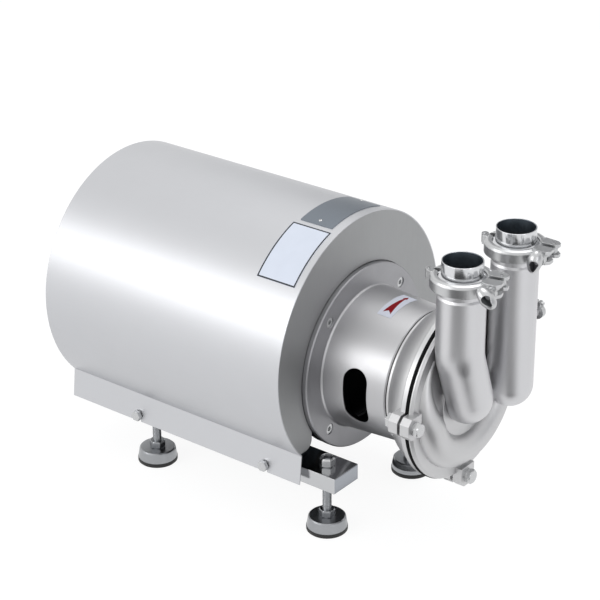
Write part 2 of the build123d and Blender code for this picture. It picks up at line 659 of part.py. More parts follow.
def shroud_section(inset):
    """The cross-section of the shroud, moved inwards by inset, as a face in the YZ plane."""
    radius = SHROUD_RADIUS - inset
    by = bend_y - inset
    bz = shroud_z - sqrt(radius ** 2 - by ** 2)
    drop = 0.0 if inset == 0 else 40.0
    foot_y = by + SKIRT_FLARE * (bz - SKIRT_BOTTOM + drop) / (BEND_HEIGHT - SKIRT_BOTTOM)
    foot_z = SKIRT_BOTTOM - drop
    edges = [
        Line((0, -foot_y, foot_z), (0, -by, bz)),
        ThreePointArc((0, -by, bz), (0, 0, shroud_z + radius), (0, by, bz)),
        Line((0, by, bz), (0, foot_y, foot_z)),
        Line((0, foot_y, foot_z), (0, -foot_y, foot_z))]
    return make_face(edges)


def shroud_block(inset, x0, x1):
    block = extrude(shroud_section(inset), amount=x1 - x0, dir=(1, 0, 0))
    return Pos(x0, 0, 0) * block


def make_shroud_shell():
    shell = shroud_block(0, shroud_rear, SHROUD_FRONT_X) - shroud_block(SHEET, shroud_rear - 1, SHROUD_FRONT_X + 1)
    span = SHROUD_RADIUS * 2
    for x in (SKIRT_BOLT_FRONT_X, SKIRT_BOLT_REAR_X):
        shell -= rod_y(SKIRT_NOTCH_RADIUS, -span, span, x, skirt_bolt_z)
        shell -= bar(x - SKIRT_NOTCH_RADIUS, x + SKIRT_NOTCH_RADIUS, -span, span, SKIRT_BOTTOM - 2, skirt_bolt_z)
    return shell


def end_plate(x0, x1):
    plate = shroud_block(SHEET + SEAT_GAP, x0, x1)
    return plate - bar(x0 - 1, x1 + 1, -SHROUD_RADIUS, SHROUD_RADIUS, 0, PLATE_BOTTOM)


def make_front_plate():
    """The front plate fits round the flange and is open below it, with a rounded leg at each side."""
    back = SHROUD_FRONT_X - SHEET
    plate = end_plate(back, SHROUD_FRONT_X)
    plate -= bar(back - 1, SHROUD_FRONT_X + 1, -plate_mouth, plate_mouth, 0, shaft_z)
    plate -= rod_x(flange_radius + PLATE_HOLE_GAP, back - 1, SHROUD_FRONT_X + 1, 0, shaft_z)
    corners = [
        edge for edge in plate.edges().filter_by(Axis.X)
        if abs(edge.center().Z - PLATE_BOTTOM) < SEAT_GAP and abs(abs(edge.center().Y) - plate_mouth) < SEAT_GAP]
    return fillet(corners, PLATE_LEG_CORNER)


def make_rear_plate():
    x0 = shroud_rear
    plate = end_plate(x0, x0 + SHEET)
    for row in range(VENT_ROWS):
        z = shroud_z + (row - (VENT_ROWS - 1) / 2) * VENT_PITCH
        for side in (-1, 1):
            y = side * (VENT_LENGTH / 2 + 9)
            slot = Pos(x0 - 1, y, z) * Rot(0, 90, 0) * Rot(0, 0, 90) * extrude(
                SlotOverall(VENT_LENGTH, VENT_HEIGHT), SHEET + 2)
            plate -= slot
    return plate


def make_shroud_bolts():
    pieces = []
    outer_y = rail_y + RAIL_WIDTH / 2
    for x in (SKIRT_BOLT_FRONT_X, SKIRT_BOLT_REAR_X):
        for side in (-1, 1):
            skirt_y = bend_y + SKIRT_FLARE * (BEND_HEIGHT - skirt_bolt_z) / (BEND_HEIGHT - SKIRT_BOTTOM)
            head_y = skirt_y + 1.2
            spacer = rod_y(SKIRT_SPACER_RADIUS, outer_y, skirt_y + 3) - rod_y(
                SKIRT_BOLT_RADIUS + RUN_GAP, outer_y - 1, skirt_y + 4)
            spacer = (Pos(x, 0, skirt_bolt_z) * spacer) & shroud_block(SHEET + SEAT_GAP, x - 20, x + 20)
            shank_y = outer_y - SKIRT_BOLT_DEPTH + 1
            bolt = rod_y(SKIRT_BOLT_RADIUS, shank_y, head_y + 2)
            bolt += Pos(0, head_y + SKIRT_BOLT_HEAD_HEIGHT, 0) * Rot(90, 0, 0) * extrude(
                RegularPolygon(SKIRT_BOLT_HEAD_ACROSS / 2, 6, major_radius=False), SKIRT_BOLT_HEAD_HEIGHT)
            bolt = Pos(x, 0, skirt_bolt_z) * bolt
            pair = [spacer, bolt]
            if side < 0:
                pair = [mirror(piece, Plane.XZ) for piece in pair]
            pieces += pair
    return group(pieces)


def make_lantern():
    root_inner = lantern_root_radius - LANTERN_WALL
    end_inner = lantern_end_radius - LANTERN_WALL
    spigot = spigot_radius + SEAT_GAP
    spigot_x = flange_front + FLANGE_SPIGOT_HEIGHT + SEAT_GAP
    step_x = LANTERN_LENGTH - LANTERN_END_WALL
    lantern = turned([
        (flange_front, spigot), (flange_front, flange_radius - FLANGE_BACK_EDGE),
        (flange_front + FLANGE_BACK_EDGE, flange_radius), (-FLANGE_FRONT_EDGE, flange_radius),
        (0, flange_radius - FLANGE_FRONT_EDGE), (0, lantern_root_radius + LANTERN_ROOT_CORNER),
        (LANTERN_ROOT_CORNER, lantern_root_radius), (LANTERN_LENGTH - LANTERN_END_CORNER, lantern_end_radius),
        (LANTERN_LENGTH, lantern_end_radius - LANTERN_END_CORNER), (LANTERN_LENGTH, LANTERN_END_BORE),
        (step_x, LANTERN_END_BORE), (step_x, end_inner), (spigot_x, root_inner - LANTERN_INNER_STEP),
        (spigot_x, spigot)])
    slot = Rot(90, 0, 0) * extrude(SlotOverall(WINDOW_HEIGHT, WINDOW_WIDTH, rotation=90), 300, both=True)
    lantern -= Pos(WINDOW_X, 0, -WINDOW_DROP) * slot
    for angle in FLANGE_BOLT_ANGLES:
        y = flange_bolt_radius * cos(radians(angle))
        z = flange_bolt_radius * sin(radians(angle))
        head_depth = ADAPTER_HEAD_HEIGHT + ADAPTER_HEAD_SUNK
        lantern -= rod_x(ADAPTER_BOLT_RADIUS + RUN_GAP, flange_front - 1, 1, y, z)
        lantern -= rod_x(ADAPTER_HEAD_RADIUS + SEAT_GAP, -head_depth, 1, y, z)
    return at_shaft(lantern)


def make_adapter_bolts():
    bolts = []
    for angle in FLANGE_BOLT_ANGLES:
        y = flange_bolt_radius * cos(radians(angle))
        z = flange_bolt_radius * sin(radians(angle))
        head = rod_x(ADAPTER_HEAD_RADIUS, -ADAPTER_HEAD_HEIGHT - ADAPTER_HEAD_SUNK, -ADAPTER_HEAD_SUNK, y, z)
        socket = hexagon_x(ADAPTER_BOLT_RADIUS, -ADAPTER_HEAD_SUNK - 3, 1, y, z)
        shank = rod_x(ADAPTER_BOLT_RADIUS, flange_front - FLANGE_THICKNESS, -ADAPTER_HEAD_HEIGHT, y, z)
        bolts.append(head - socket + shank)
    return at_shaft(group(bolts))


def make_pump_shaft():
    bore_end = SHAFT_LENGTH + 2
    sleeve = rod_x(PUMP_SLEEVE_RADIUS, PUMP_SLEEVE_START, PUMP_SLEEVE_END)
    sleeve = chamfer(sleeve.edges().group_by(Axis.X)[-1], 3.0)
    shaft = sleeve + rod_x(PUMP_SHAFT_RADIUS, PUMP_SLEEVE_END - 1, impeller_back)
    shaft += rod_x(IMPELLER_SEAT_RADIUS, impeller_back - 1, impeller_front - 1.5)
    shaft += rod_x(PUMP_THREAD_RADIUS, impeller_front - 2, pump_shaft_end)
    return at_shaft(shaft - rod_x(SHAFT_RADIUS + RUN_GAP, PUMP_SLEEVE_START - 1, bore_end))


def lugs(x0, x1):
    """Four bolt lugs round the casing rim, at the top, bottom and both sides."""
    ring = []
    for angle in LUG_ANGLES:
        lug = bar(x0, x1, BOLT_CIRCLE_RADIUS - LUG_ROOT, BOLT_CIRCLE_RADIUS + LUG_REACH, -LUG_HALF_WIDTH, LUG_HALF_WIDTH)
        lug = chamfer(lug.edges().filter_by(Axis.X).group_by(Axis.Y)[-1], LUG_CORNER)
        lug -= rod_x(CASING_BOLT_RADIUS + 0.25, x0 - 1, x1 + 1, BOLT_CIRCLE_RADIUS, 0)
        ring.append(Rot(angle, 0, 0) * lug)
    return ring


def lug_bores(x0, x1):
    return [Rot(angle, 0, 0) * rod_x(CASING_BOLT_RADIUS + 0.25, x0, x1, BOLT_CIRCLE_RADIUS, 0)
            for angle in LUG_ANGLES]


def make_back_cover():
    back = LANTERN_LENGTH + SEAT_GAP
    rim_back = cover_front - COVER_RIM
    hub = SEAT_RADIUS + 8
    seat = SEAT_RADIUS + RUN_GAP
    bell_root = (back + COVER_WALL, cover_neck_radius)
    bell_end = (rim_back, CASING_RADIUS - COVER_RIM_STEP)
    bell_middle = ((bell_root[0] + bell_end[0]) / 2 - COVER_BELL, (bell_root[1] + bell_end[1]) / 2 + COVER_BELL)
    outside = Polyline(
        (back + COVER_WALL, LANTERN_END_BORE + 4), (back, LANTERN_END_BORE + 4), (back, cover_neck_radius - 1),
        (back + 1, cover_neck_radius), bell_root)
    bell = ThreePointArc(bell_root, bell_middle, bell_end)
    inside = Polyline(
        bell_end, (rim_back, CASING_RADIUS - 1), (rim_back + 1, CASING_RADIUS), (cover_front, CASING_RADIUS),
        (cover_front, CHAMBER_RADIUS), (chamber_back, CHAMBER_RADIUS), (chamber_back, seat), (seat_back, seat),
        (seat_back, SEAL_BORE_RADIUS), (seat_back - 4, SEAL_BORE_RADIUS), (seat_back - 4, hub),
        (chamber_back - COVER_WALL, hub), (chamber_back - COVER_WALL, CHAMBER_RADIUS - 6),
        (back + 2 * COVER_WALL, cover_neck_radius - COVER_WALL), (back + COVER_WALL, cover_neck_radius - 6),
        (back + COVER_WALL, LANTERN_END_BORE + 4))
    cover = revolve(make_face([outside, bell, inside]), Axis.X)
    for lug in lugs(cover_front - LUG_THICKNESS, cover_front):
        cover += lug
    cover -= rod_x(CHAMBER_RADIUS, chamber_back, cover_front + 1)
    lug_back = cover_front - LUG_THICKNESS
    spot = rod_x(COVER_SPOT_RADIUS, lug_back - CASING_NUT_HEIGHT - 5, lug_back, BOLT_CIRCLE_RADIUS, 0)
    for angle in LUG_ANGLES:
        cover -= Rot(angle, 0, 0) * spot
    for bore in lug_bores(lug_back - 1, cover_front + 1):
        cover -= bore
    return at_shaft(cover)


def make_casing_gasket():
    ring = rod_x(GASKET_RADIUS - 2, cover_front, casing_back) - rod_x(
        CHAMBER_RADIUS + 1, cover_front - 1, casing_back + 1)
    for bore in lug_bores(cover_front - 1, casing_back + 1):
        ring -= bore
    return at_shaft(ring)


def channel_section(angle, mean, size):
    turn = radians(angle)
    centre = Vector(chamber_front, mean * cos(turn), mean * sin(turn))
    along = Vector(0, -sin(turn), cos(turn))
    return Plane(origin=centre, x_dir=(1, 0, 0), z_dir=along) * Circle(size)


def channel(reduce):
    """The spiral channel in the front wall: a horn that grows into a round duct."""
    duct = revolve(channel_section(CHANNEL_FULL_ANGLE, CHANNEL_RADIUS, CHANNEL_SIZE - reduce), Axis.X,
                   revolution_arc=CHANNEL_END_ANGLE - CHANNEL_FULL_ANGLE)
    sections = []
    for i in range(HORN_SECTIONS):
        share = i / (HORN_SECTIONS - 1)
        ease = share * share * (3 - 2 * share)
        size = HORN_SIZE + (CHANNEL_SIZE - HORN_SIZE) * ease - reduce
        mean = HORN_RADIUS + (CHANNEL_RADIUS - HORN_RADIUS) * ease
        angle = HORN_ANGLE + (CHANNEL_FULL_ANGLE - HORN_ANGLE) * share
        sections.append(channel_section(angle, mean, max(size, 0.8)))
    return duct + loft(sections)


def front_half(shape, x0):
    return shape & bar(x0, x0 + 80, -CASING_RADIUS, CASING_RADIUS, -CASING_RADIUS, CASING_RADIUS)


def make_front_casing(bulge):
    casing = turned([
        (casing_back, CHAMBER_RADIUS), (casing_back, CASING_RADIUS), (casing_front - 3, CASING_RADIUS),
        (casing_front, CASING_RADIUS - 3), (casing_front, 0), (chamber_front, 0),
        (chamber_front, CHAMBER_RADIUS)])
    boss = rod_x(BOSS_RADIUS, chamber_front, boss_front, 0, -BOSS_DROP)
    boss = fillet(boss.edges().group_by(Axis.X)[-1], 1.5)
    casing += boss
    casing += bulge
    casing -= channel(CHANNEL_WALL)
    for lug in lugs(casing_back, casing_back + LUG_THICKNESS):
        casing += lug
    casing -= rod_x(CHAMBER_RADIUS, casing_back - 1, chamber_front)
    casing -= rod_x(EYE_RADIUS, chamber_front - 1, boss_front + 1)
    for bore in lug_bores(casing_back - 1, casing_back + LUG_THICKNESS + 1):
        casing -= bore
    return at_shaft(casing)


def make_casing_bolts():
    pieces = []
    lug_front = casing_back + LUG_THICKNESS
    lug_back = cover_front - LUG_THICKNESS
    head_x = lug_front + CASING_WASHER_HEIGHT
    for angle in LUG_ANGLES:
        y = BOLT_CIRCLE_RADIUS
        hole = rod_x(CASING_BOLT_RADIUS + RUN_GAP, lug_back - 20, head_x + 1, y, 0)
        washer = rod_x(CASING_WASHER_RADIUS, lug_front, head_x, y, 0) - hole
        head = hexagon_x(CASING_BOLT_ACROSS, head_x, head_x + CASING_HEAD_HEIGHT, y, 0)
        head = head & turned_head(head_x, y)
        shank = rod_x(CASING_BOLT_RADIUS, lug_back - CASING_NUT_HEIGHT - 3, head_x + 1, y, 0)
        nut = hexagon_x(CASING_BOLT_ACROSS, lug_back - CASING_NUT_HEIGHT, lug_back, y, 0) - hole
        pieces += [Rot(angle, 0, 0) * piece for piece in (washer, head + shank, nut)]
    return at_shaft(group(pieces))


def turned_head(x, y):
    """The domed blank that rounds off a hexagon head's corners."""
    r = CASING_BOLT_ACROSS
    blank = turned([(x, 0), (x, r * 0.6), (x + CASING_HEAD_HEIGHT - 1.8, r * 0.6),
                    (x + CASING_HEAD_HEIGHT, r * 0.48), (x + CASING_HEAD_HEIGHT, 0)])
    return Pos(0, y, 0) * blank


def make_seal_seat():
    ring = rod_x(SEAT_RADIUS, seat_back + RUN_GAP, seat_back + SEAT_LENGTH)
    return at_shaft(ring - rod_x(SEAL_BORE_RADIUS, seat_back, seat_back + SEAT_LENGTH + 1))


def make_seal_ring():
    x0 = seat_back + SEAT_LENGTH + RUN_GAP
    x1 = impeller_back - SEAT_GAP
    ring = rod_x(SEAL_RING_RADIUS, x0, x1 - 3) + rod_x(SEAL_RING_RADIUS - 3, x0, x1)
    return at_shaft(ring - rod_x(PUMP_SHAFT_RADIUS + RUN_GAP, x0 - 1, x1 + 1))


def make_impeller():
    plate_front = impeller_back + IMPELLER_PLATE
    wheel = rod_x(IMPELLER_RADIUS, impeller_back, plate_front) + rod_x(
        IMPELLER_HUB_RADIUS, impeller_back, impeller_front - 1.5)
    inner, middle, outer = IMPELLER_HUB_RADIUS - 2, (IMPELLER_HUB_RADIUS + IMPELLER_RADIUS) / 2, IMPELLER_RADIUS - 0.5

    def polar(radius, angle):
        return (0, radius * cos(radians(angle)), radius * sin(radians(angle)))

    def lead(radius):
        return degrees(BLADE_THICKNESS / radius)

    for i in range(IMPELLER_BLADES):
        a = 360 / IMPELLER_BLADES * i
        back = ThreePointArc(polar(inner, a), polar(middle, a + 22), polar(outer, a + 62))
        front = ThreePointArc(polar(outer, a + 62 + lead(outer)), polar(middle, a + 22 + lead(middle)),
                              polar(inner, a + lead(inner)))
        face = make_face([back, Line(back @ 1, front @ 0), front, Line(front @ 1, back @ 0)])
        blade = extrude(face, amount=impeller_front - plate_front + 1, dir=(1, 0, 0))
        wheel += Pos(plate_front - 1, 0, 0) * blade
    return at_shaft(wheel - rod_x(IMPELLER_SEAT_RADIUS + RUN_GAP, impeller_back - 1, impeller_front + 1))


def make_impeller_nut():
    back = impeller_front - 1.5 + SEAT_GAP
    collar = rod_x(NUT_RADIUS, back, back + 3)
    body = hexagon_x(NUT_HEX_ACROSS, back + 2, pump_shaft_end + 4)
    body = chamfer(body.edges().group_by(Axis.X)[-1], 2.0)
    return at_shaft(collar + body - rod_x(PUMP_THREAD_RADIUS + RUN_GAP, back - 1, pump_shaft_end + 1))


def suction_run(radius, top):
    """The suction pipe: straight down, leaning in, then a tight elbow to the eye."""
    upper = (PORT_X, suction_y, top)
    knee = (PORT_X, suction_y, PIPE_KNEE_HEIGHT)
    elbow = (PIPE_ELBOW_X, PIPE_ELBOW_Y, -PIPE_ELBOW_DROP)
    eye = (PIPE_EYE_X, PIPE_EYE_Y, -PIPE_EYE_DROP)
    path = FilletPolyline(upper, knee, elbow, eye, radius=(PIPE_KNEE_RADIUS, PIPE_ELBOW_RADIUS))
    return sweep(Plane(origin=path @ 0, z_dir=path % 0) * Circle(radius), path=path)


def clear_of_casing(pipe, bulge):
    """Cuts a pipe back to the casing's front wall, boss and channel."""
    pipe = pipe & bar(casing_front, PORT_X + 100, -300, 300, -300, 300)
    pipe -= rod_x(BOSS_RADIUS, casing_front - 1, boss_front, 0, -BOSS_DROP)
    return pipe - bulge


def lower_collar(y, joint):
    """The clamped end of a pipe: ferrule rim, collar and shoulder, from the joint down."""
    face = joint - FERRULE_GASKET / 2
    slope_z = face - FERRULE_EDGE - (FERRULE_RADIUS - COLLAR_RADIUS) * ferrule_tan
    collar_z = joint - COLLAR_LENGTH
    bore = TUBE_RADIUS - TUBE_WALL
    shape = turned_z([
        (bore, face), (FERRULE_RADIUS, face), (FERRULE_RADIUS, face - FERRULE_EDGE), (COLLAR_RADIUS, slope_z),
        (COLLAR_RADIUS, collar_z), (PIPE_RADIUS, collar_z - SHOULDER_HEIGHT),
        (PIPE_RADIUS, collar_z - SHOULDER_HEIGHT - 2), (bore, collar_z - SHOULDER_HEIGHT - 2)])
    return Pos(PORT_X, y, 0) * shape


def pipe_top(joint):
    return joint - COLLAR_LENGTH - SHOULDER_HEIGHT - 1


def suction_outer():
    return suction_run(PIPE_RADIUS, pipe_top(suction_joint_z - shaft_z))


def make_suction_pipe(outer, bulge):
    joint = suction_joint_z - shaft_z
    pipe = clear_of_casing(outer, bulge) + lower_collar(suction_y, joint)
    inner = suction_run(PIPE_RADIUS - PIPE_WALL, pipe_top(joint) + 1)
    inner += rod_z(TUBE_RADIUS - TUBE_WALL, pipe_top(joint) - 10, joint + 1, PORT_X, suction_y)
    return at_shaft(pipe - inner)


def discharge_outer():
    joint = discharge_joint_z - shaft_z
    pipe = rod_z(PIPE_RADIUS, -DISCHARGE_END_DROP, pipe_top(joint), PORT_X, discharge_y)
    pipe += Pos(PORT_X, discharge_y, -DISCHARGE_END_DROP) * Sphere(PIPE_RADIUS)
    pipe += rod_x(STUB_RADIUS, chamber_front, PORT_X, discharge_y, 0)
    side_y = discharge_y + PIPE_RADIUS + SIDE_PORT_REACH
    pipe += rod_y(SIDE_TUBE_RADIUS, discharge_y, side_y - 1, PORT_X, SIDE_PORT_HEIGHT)
    pipe += rod_y(SIDE_FERRULE_RADIUS, side_y - SIDE_FERRULE_EDGE, side_y, PORT_X, SIDE_PORT_HEIGHT)
    return pipe


def make_discharge_pipe(suction, bulge):
    joint = discharge_joint_z - shaft_z
    pipe = clear_of_casing(discharge_outer(), bulge) - suction + lower_collar(discharge_y, joint)
    inner = rod_z(PIPE_RADIUS - PIPE_WALL, -DISCHARGE_END_DROP, pipe_top(joint) + 1, PORT_X, discharge_y)
    inner += Pos(PORT_X, discharge_y, -DISCHARGE_END_DROP) * Sphere(PIPE_RADIUS - PIPE_WALL)
    inner += rod_z(TUBE_RADIUS - TUBE_WALL, pipe_top(joint) - 10, joint + 1, PORT_X, discharge_y)
    inner += rod_x(STUB_RADIUS - PIPE_WALL, casing_back, PORT_X, discharge_y, 0)
    side_end = discharge_y + PIPE_RADIUS + SIDE_PORT_REACH + 1
    inner += rod_y(SIDE_TUBE_RADIUS - SIDE_TUBE_WALL, discharge_y, side_end, PORT_X, SIDE_PORT_HEIGHT)
    return at_shaft(pipe - inner)


def make_weld_ferrule(y, joint):
    face = joint + FERRULE_GASKET / 2
    slope_z = face + FERRULE_EDGE + (FERRULE_RADIUS - TUBE_RADIUS) * ferrule_tan
    bore = TUBE_RADIUS - TUBE_WALL
    shape = turned_z([
        (bore, face), (FERRULE_RADIUS, face), (FERRULE_RADIUS, face + FERRULE_EDGE), (TUBE_RADIUS, slope_z),
        (TUBE_RADIUS, face + FERRULE_LENGTH), (bore, face + FERRULE_LENGTH)])
    return Pos(PORT_X, y, 0) * shape


def make_port_gaskets():
    rings = []
    for y, joint in ((suction_y, suction_joint_z), (discharge_y, discharge_joint_z)):
        half = FERRULE_GASKET / 2
        ring = rod_z(FERRULE_RADIUS - 0.5, joint - half, joint + half, PORT_X, y)
        rings.append(ring - rod_z(TUBE_RADIUS - TUBE_WALL, joint - 2, joint + 2, PORT_X, y))
    return group(rings)


def clamp_place(y, joint, turn):
    return Pos(PORT_X, y, joint) * Rot(0, 0, turn)


def clamp_ring():
    """The full clamp ring in its own frame, with the groove that grips both ferrule rims."""
    half = CLAMP_HEIGHT / 2
    mouth = FERRULE_GASKET / 2 + FERRULE_EDGE + MOVE_GAP
    groove = FERRULE_RADIUS + MOVE_GAP
    lip = mouth + (groove - CLAMP_BORE) * ferrule_tan
    upper = [
        (groove, mouth), (CLAMP_BORE, lip), (CLAMP_BORE, half - CLAMP_LIP_EDGE), (CLAMP_BORE + CLAMP_LIP_EDGE, half),
        (CLAMP_RADIUS - CLAMP_SHOULDER, half),
        (CLAMP_RADIUS - CLAMP_SHOULDER * 0.3, half - CLAMP_SHOULDER_DROP * 0.35),
        (CLAMP_RADIUS, half - CLAMP_SHOULDER_DROP)]
    return turned_z(upper + [(radius, -height) for radius, height in reversed(upper)])


def clamp_clear():
    """The room inside the clamp that its ears and knuckles stay out of."""
    return rod_z(FERRULE_RADIUS + MOVE_GAP, -CLAMP_HEIGHT, CLAMP_HEIGHT)


def ear_outline(side):
    """The tapered ear of one half in plan: side 1 is the fixed half's, side -1 the moving half's."""
    gap = CLAMP_SPLIT / 2
    root = CLAMP_RADIUS - EAR_ROOT
    far = EAR_REACH - BOLT_PIN_OFFSET if side < 0 else gap + EAR_WIDTH
    points = [
        (root, gap), (EAR_TIP - EAR_TAPER - 1, gap), (EAR_TIP, gap + EAR_TAPER),
        (EAR_TIP, far - EAR_CORNER), (EAR_TIP - EAR_CORNER, far), (root, far + EAR_SLOPE)]
    return make_face(Polyline(*[(x, side * y) for x, y in points], close=True))


def clamp_ear(side):
    half = EAR_HEIGHT / 2
    ear = Pos(0, 0, -half) * extrude(ear_outline(side), EAR_HEIGHT, dir=(0, 0, 1))
    return ear - clamp_clear()


def knuckle_room(reach):
    """The room that a hinge knuckle of this height needs round its pin."""
    return rod_z(KNUCKLE_RADIUS + MOVE_GAP, -reach, reach, HINGE_X, 0)


def make_fixed_half():
    half = CLAMP_HEIGHT / 2
    gap = CLAMP_SPLIT / 2
    ring = clamp_ring() & bar(-60, 60, gap, 60, -half, half)
    slot_x = EAR_X - BOLT_EYE_RADIUS - MOVE_GAP
    slot = bar(slot_x, EAR_TIP + 10, -40, 40, -EAR_SLOT / 2, EAR_SLOT / 2)
    pin_hole = rod_z(BOLT_PIN_RADIUS + RUN_GAP, -EAR_HEIGHT, EAR_HEIGHT, EAR_X, BOLT_PIN_OFFSET)
    tongue = rod_z(KNUCKLE_RADIUS, -HINGE_TONGUE / 2, HINGE_TONGUE / 2, HINGE_X, 0)
    arm = bar(HINGE_X, -CLAMP_RADIUS + 5, 0, KNUCKLE_RADIUS + gap, -HINGE_TONGUE / 2, HINGE_TONGUE / 2)
    tongue += arm - clamp_clear()
    hinge_hole = rod_z(HINGE_PIN_RADIUS + RUN_GAP, -half, half, HINGE_X, 0)
    return (ring - knuckle_room(half)) + (clamp_ear(1) - slot) - pin_hole + tongue - hinge_hole


def make_moving_half():
    half = CLAMP_HEIGHT / 2
    gap = CLAMP_SPLIT / 2
    ring = clamp_ring() & bar(-60, 60, -60, -gap, -half, half)
    reach = rod_z(EAR_REACH, -EAR_HEIGHT, EAR_HEIGHT, EAR_X, BOLT_PIN_OFFSET)
    slot = bar(EAR_X - EAR_SLOT / 2 - 1, EAR_TIP + 10, -40, 40, -EAR_SLOT / 2, EAR_SLOT / 2)
    fork = rod_z(KNUCKLE_RADIUS, -half + 0.5, half - 0.5, HINGE_X, 0)
    fork += bar(HINGE_X, -CLAMP_RADIUS + 5, -KNUCKLE_RADIUS - gap, 0, -half + 0.5, half - 0.5) - clamp_clear()
    gap_z = HINGE_TONGUE / 2 + MOVE_GAP
    sweep_room = knuckle_room(gap_z) + bar(HINGE_X - 8, -CLAMP_RADIUS + 8, -gap, 20, -gap_z, gap_z)
    hinge_hole = rod_z(HINGE_PIN_RADIUS + RUN_GAP, -half, half, HINGE_X, 0)
    return ((ring + fork) - sweep_room) + ((clamp_ear(-1) & reach) - slot) - hinge_hole


def make_clamp_pins():
    hinge_end = CLAMP_HEIGHT / 2 + 0.5
    ear_end = EAR_HEIGHT / 2 + 0.5
    pins = []
    for place in (
            clamp_place(suction_y, suction_joint_z, SUCTION_CLAMP_TURN),
            clamp_place(discharge_y, discharge_joint_z, DISCHARGE_CLAMP_TURN)):
        hinge_pin = rod_z(HINGE_PIN_RADIUS, -hinge_end, hinge_end, HINGE_X, 0)
        bolt_pin = rod_z(BOLT_PIN_RADIUS, -ear_end, ear_end, EAR_X, BOLT_PIN_OFFSET)
        pins += [place * hinge_pin, place * bolt_pin]
    return group(pins)


def make_clamp_bolt():
    thick = EAR_SLOT / 2 - MOVE_GAP
    eye = rod_z(BOLT_EYE_RADIUS, -thick, thick, EAR_X, BOLT_PIN_OFFSET)
    shank = rod_y(CLAMP_BOLT_RADIUS, BOLT_PIN_OFFSET - CLAMP_BOLT_LENGTH, BOLT_PIN_OFFSET - 3, EAR_X)
    shank = chamfer(shank.edges().group_by(Axis.Y)[0], 0.8)
    pin_hole = rod_z(BOLT_PIN_RADIUS + RUN_GAP, -20, 20, EAR_X, BOLT_PIN_OFFSET)
    return eye + shank - pin_hole


def make_wing_nut(wing_angle):
    """A hub with an oval, dished grip across its outer end, in which the bolt's end shows."""
    face_y = BOLT_PIN_OFFSET - EAR_REACH - MOVE_GAP
    hub = turned_z([
        (0, 0), (WING_HUB_RADIUS - 0.8, 0), (WING_HUB_RADIUS, 0.8), (WING_HUB_RADIUS, WING_HUB_LENGTH),
        (0, WING_HUB_LENGTH)])
    grip = Pos(0, 0, WING_START) * extrude(SlotOverall(WING_LENGTH, WING_WIDTH), WING_END - WING_START)
    grip &= rod_y(WING_ROUND, -WING_WIDTH, WING_WIDTH, 0, WING_END - WING_ROUND + 1)
    dish = Pos(0, 0, WING_DISH) * extrude(
        SlotOverall(WING_LENGTH - 2 * WING_WALL, WING_WIDTH - 2 * WING_WALL), WING_END - WING_DISH + 1)
    dish &= rod_y(WING_ROUND - WING_WALL, -WING_WIDTH, WING_WIDTH, 0, WING_END - WING_ROUND + 3)
    nut = hub + grip - dish - rod_z(CLAMP_BOLT_RADIUS + RUN_GAP, -1, WING_END + 1)
    return Pos(EAR_X, face_y, 0) * Rot(90, 0, 0) * Rot(0, 0, wing_angle) * nut


def make_side_cap():
    start = discharge_y + PIPE_RADIUS + SIDE_PORT_REACH
    rim = start + SIDE_GASKET
    cap = rod_y(SIDE_FERRULE_RADIUS - 1, start, rim) + rod_y(SIDE_FERRULE_RADIUS, rim, rim + SIDE_FERRULE_EDGE)
    cap += rod_y(SIDE_TUBE_RADIUS, rim, rim + SIDE_CAP_THICKNESS)
    return at_shaft(Pos(PORT_X, 0, SIDE_PORT_HEIGHT) * cap)


def make_side_clamp():
    """A small two-part clamp with its bolt, split across its ears at the top."""
    joint = discharge_y + PIPE_RADIUS + SIDE_PORT_REACH + SIDE_GASKET / 2
    half = SIDE_CLAMP_WIDTH / 2
    groove = SIDE_GASKET / 2 + SIDE_FERRULE_EDGE + SEAT_GAP
    ring = rod_y(SIDE_CLAMP_RADIUS, joint - half, joint + half)
    ring += bar(-5, 5, joint - half, joint + half, SIDE_CLAMP_RADIUS - 3, SIDE_CLAMP_RADIUS + SIDE_EAR_HEIGHT)
    ring -= rod_y(SIDE_FERRULE_RADIUS + SEAT_GAP, joint - groove, joint + groove)
    ring -= rod_y(SIDE_TUBE_RADIUS + SEAT_GAP, joint - half - 1, joint + half + 1)
    ring -= bar(-1, 1, joint - 20, joint + 20, -40, 40)
    bolt_z = SIDE_CLAMP_RADIUS + SIDE_EAR_HEIGHT / 2
    ring -= rod_x(SIDE_BOLT_RADIUS + SEAT_GAP, -30, 30, joint, bolt_z)
    bolt = rod_x(SIDE_BOLT_RADIUS, -8, 8, joint, bolt_z) + hexagon_x(SIDE_NUT_ACROSS, 5, 8, joint, bolt_z)
    bolt += hexagon_x(SIDE_NUT_ACROSS, -8, -5, joint, bolt_z)
    return at_shaft(Pos(PORT_X, 0, SIDE_PORT_HEIGHT) * group([ring, bolt]))


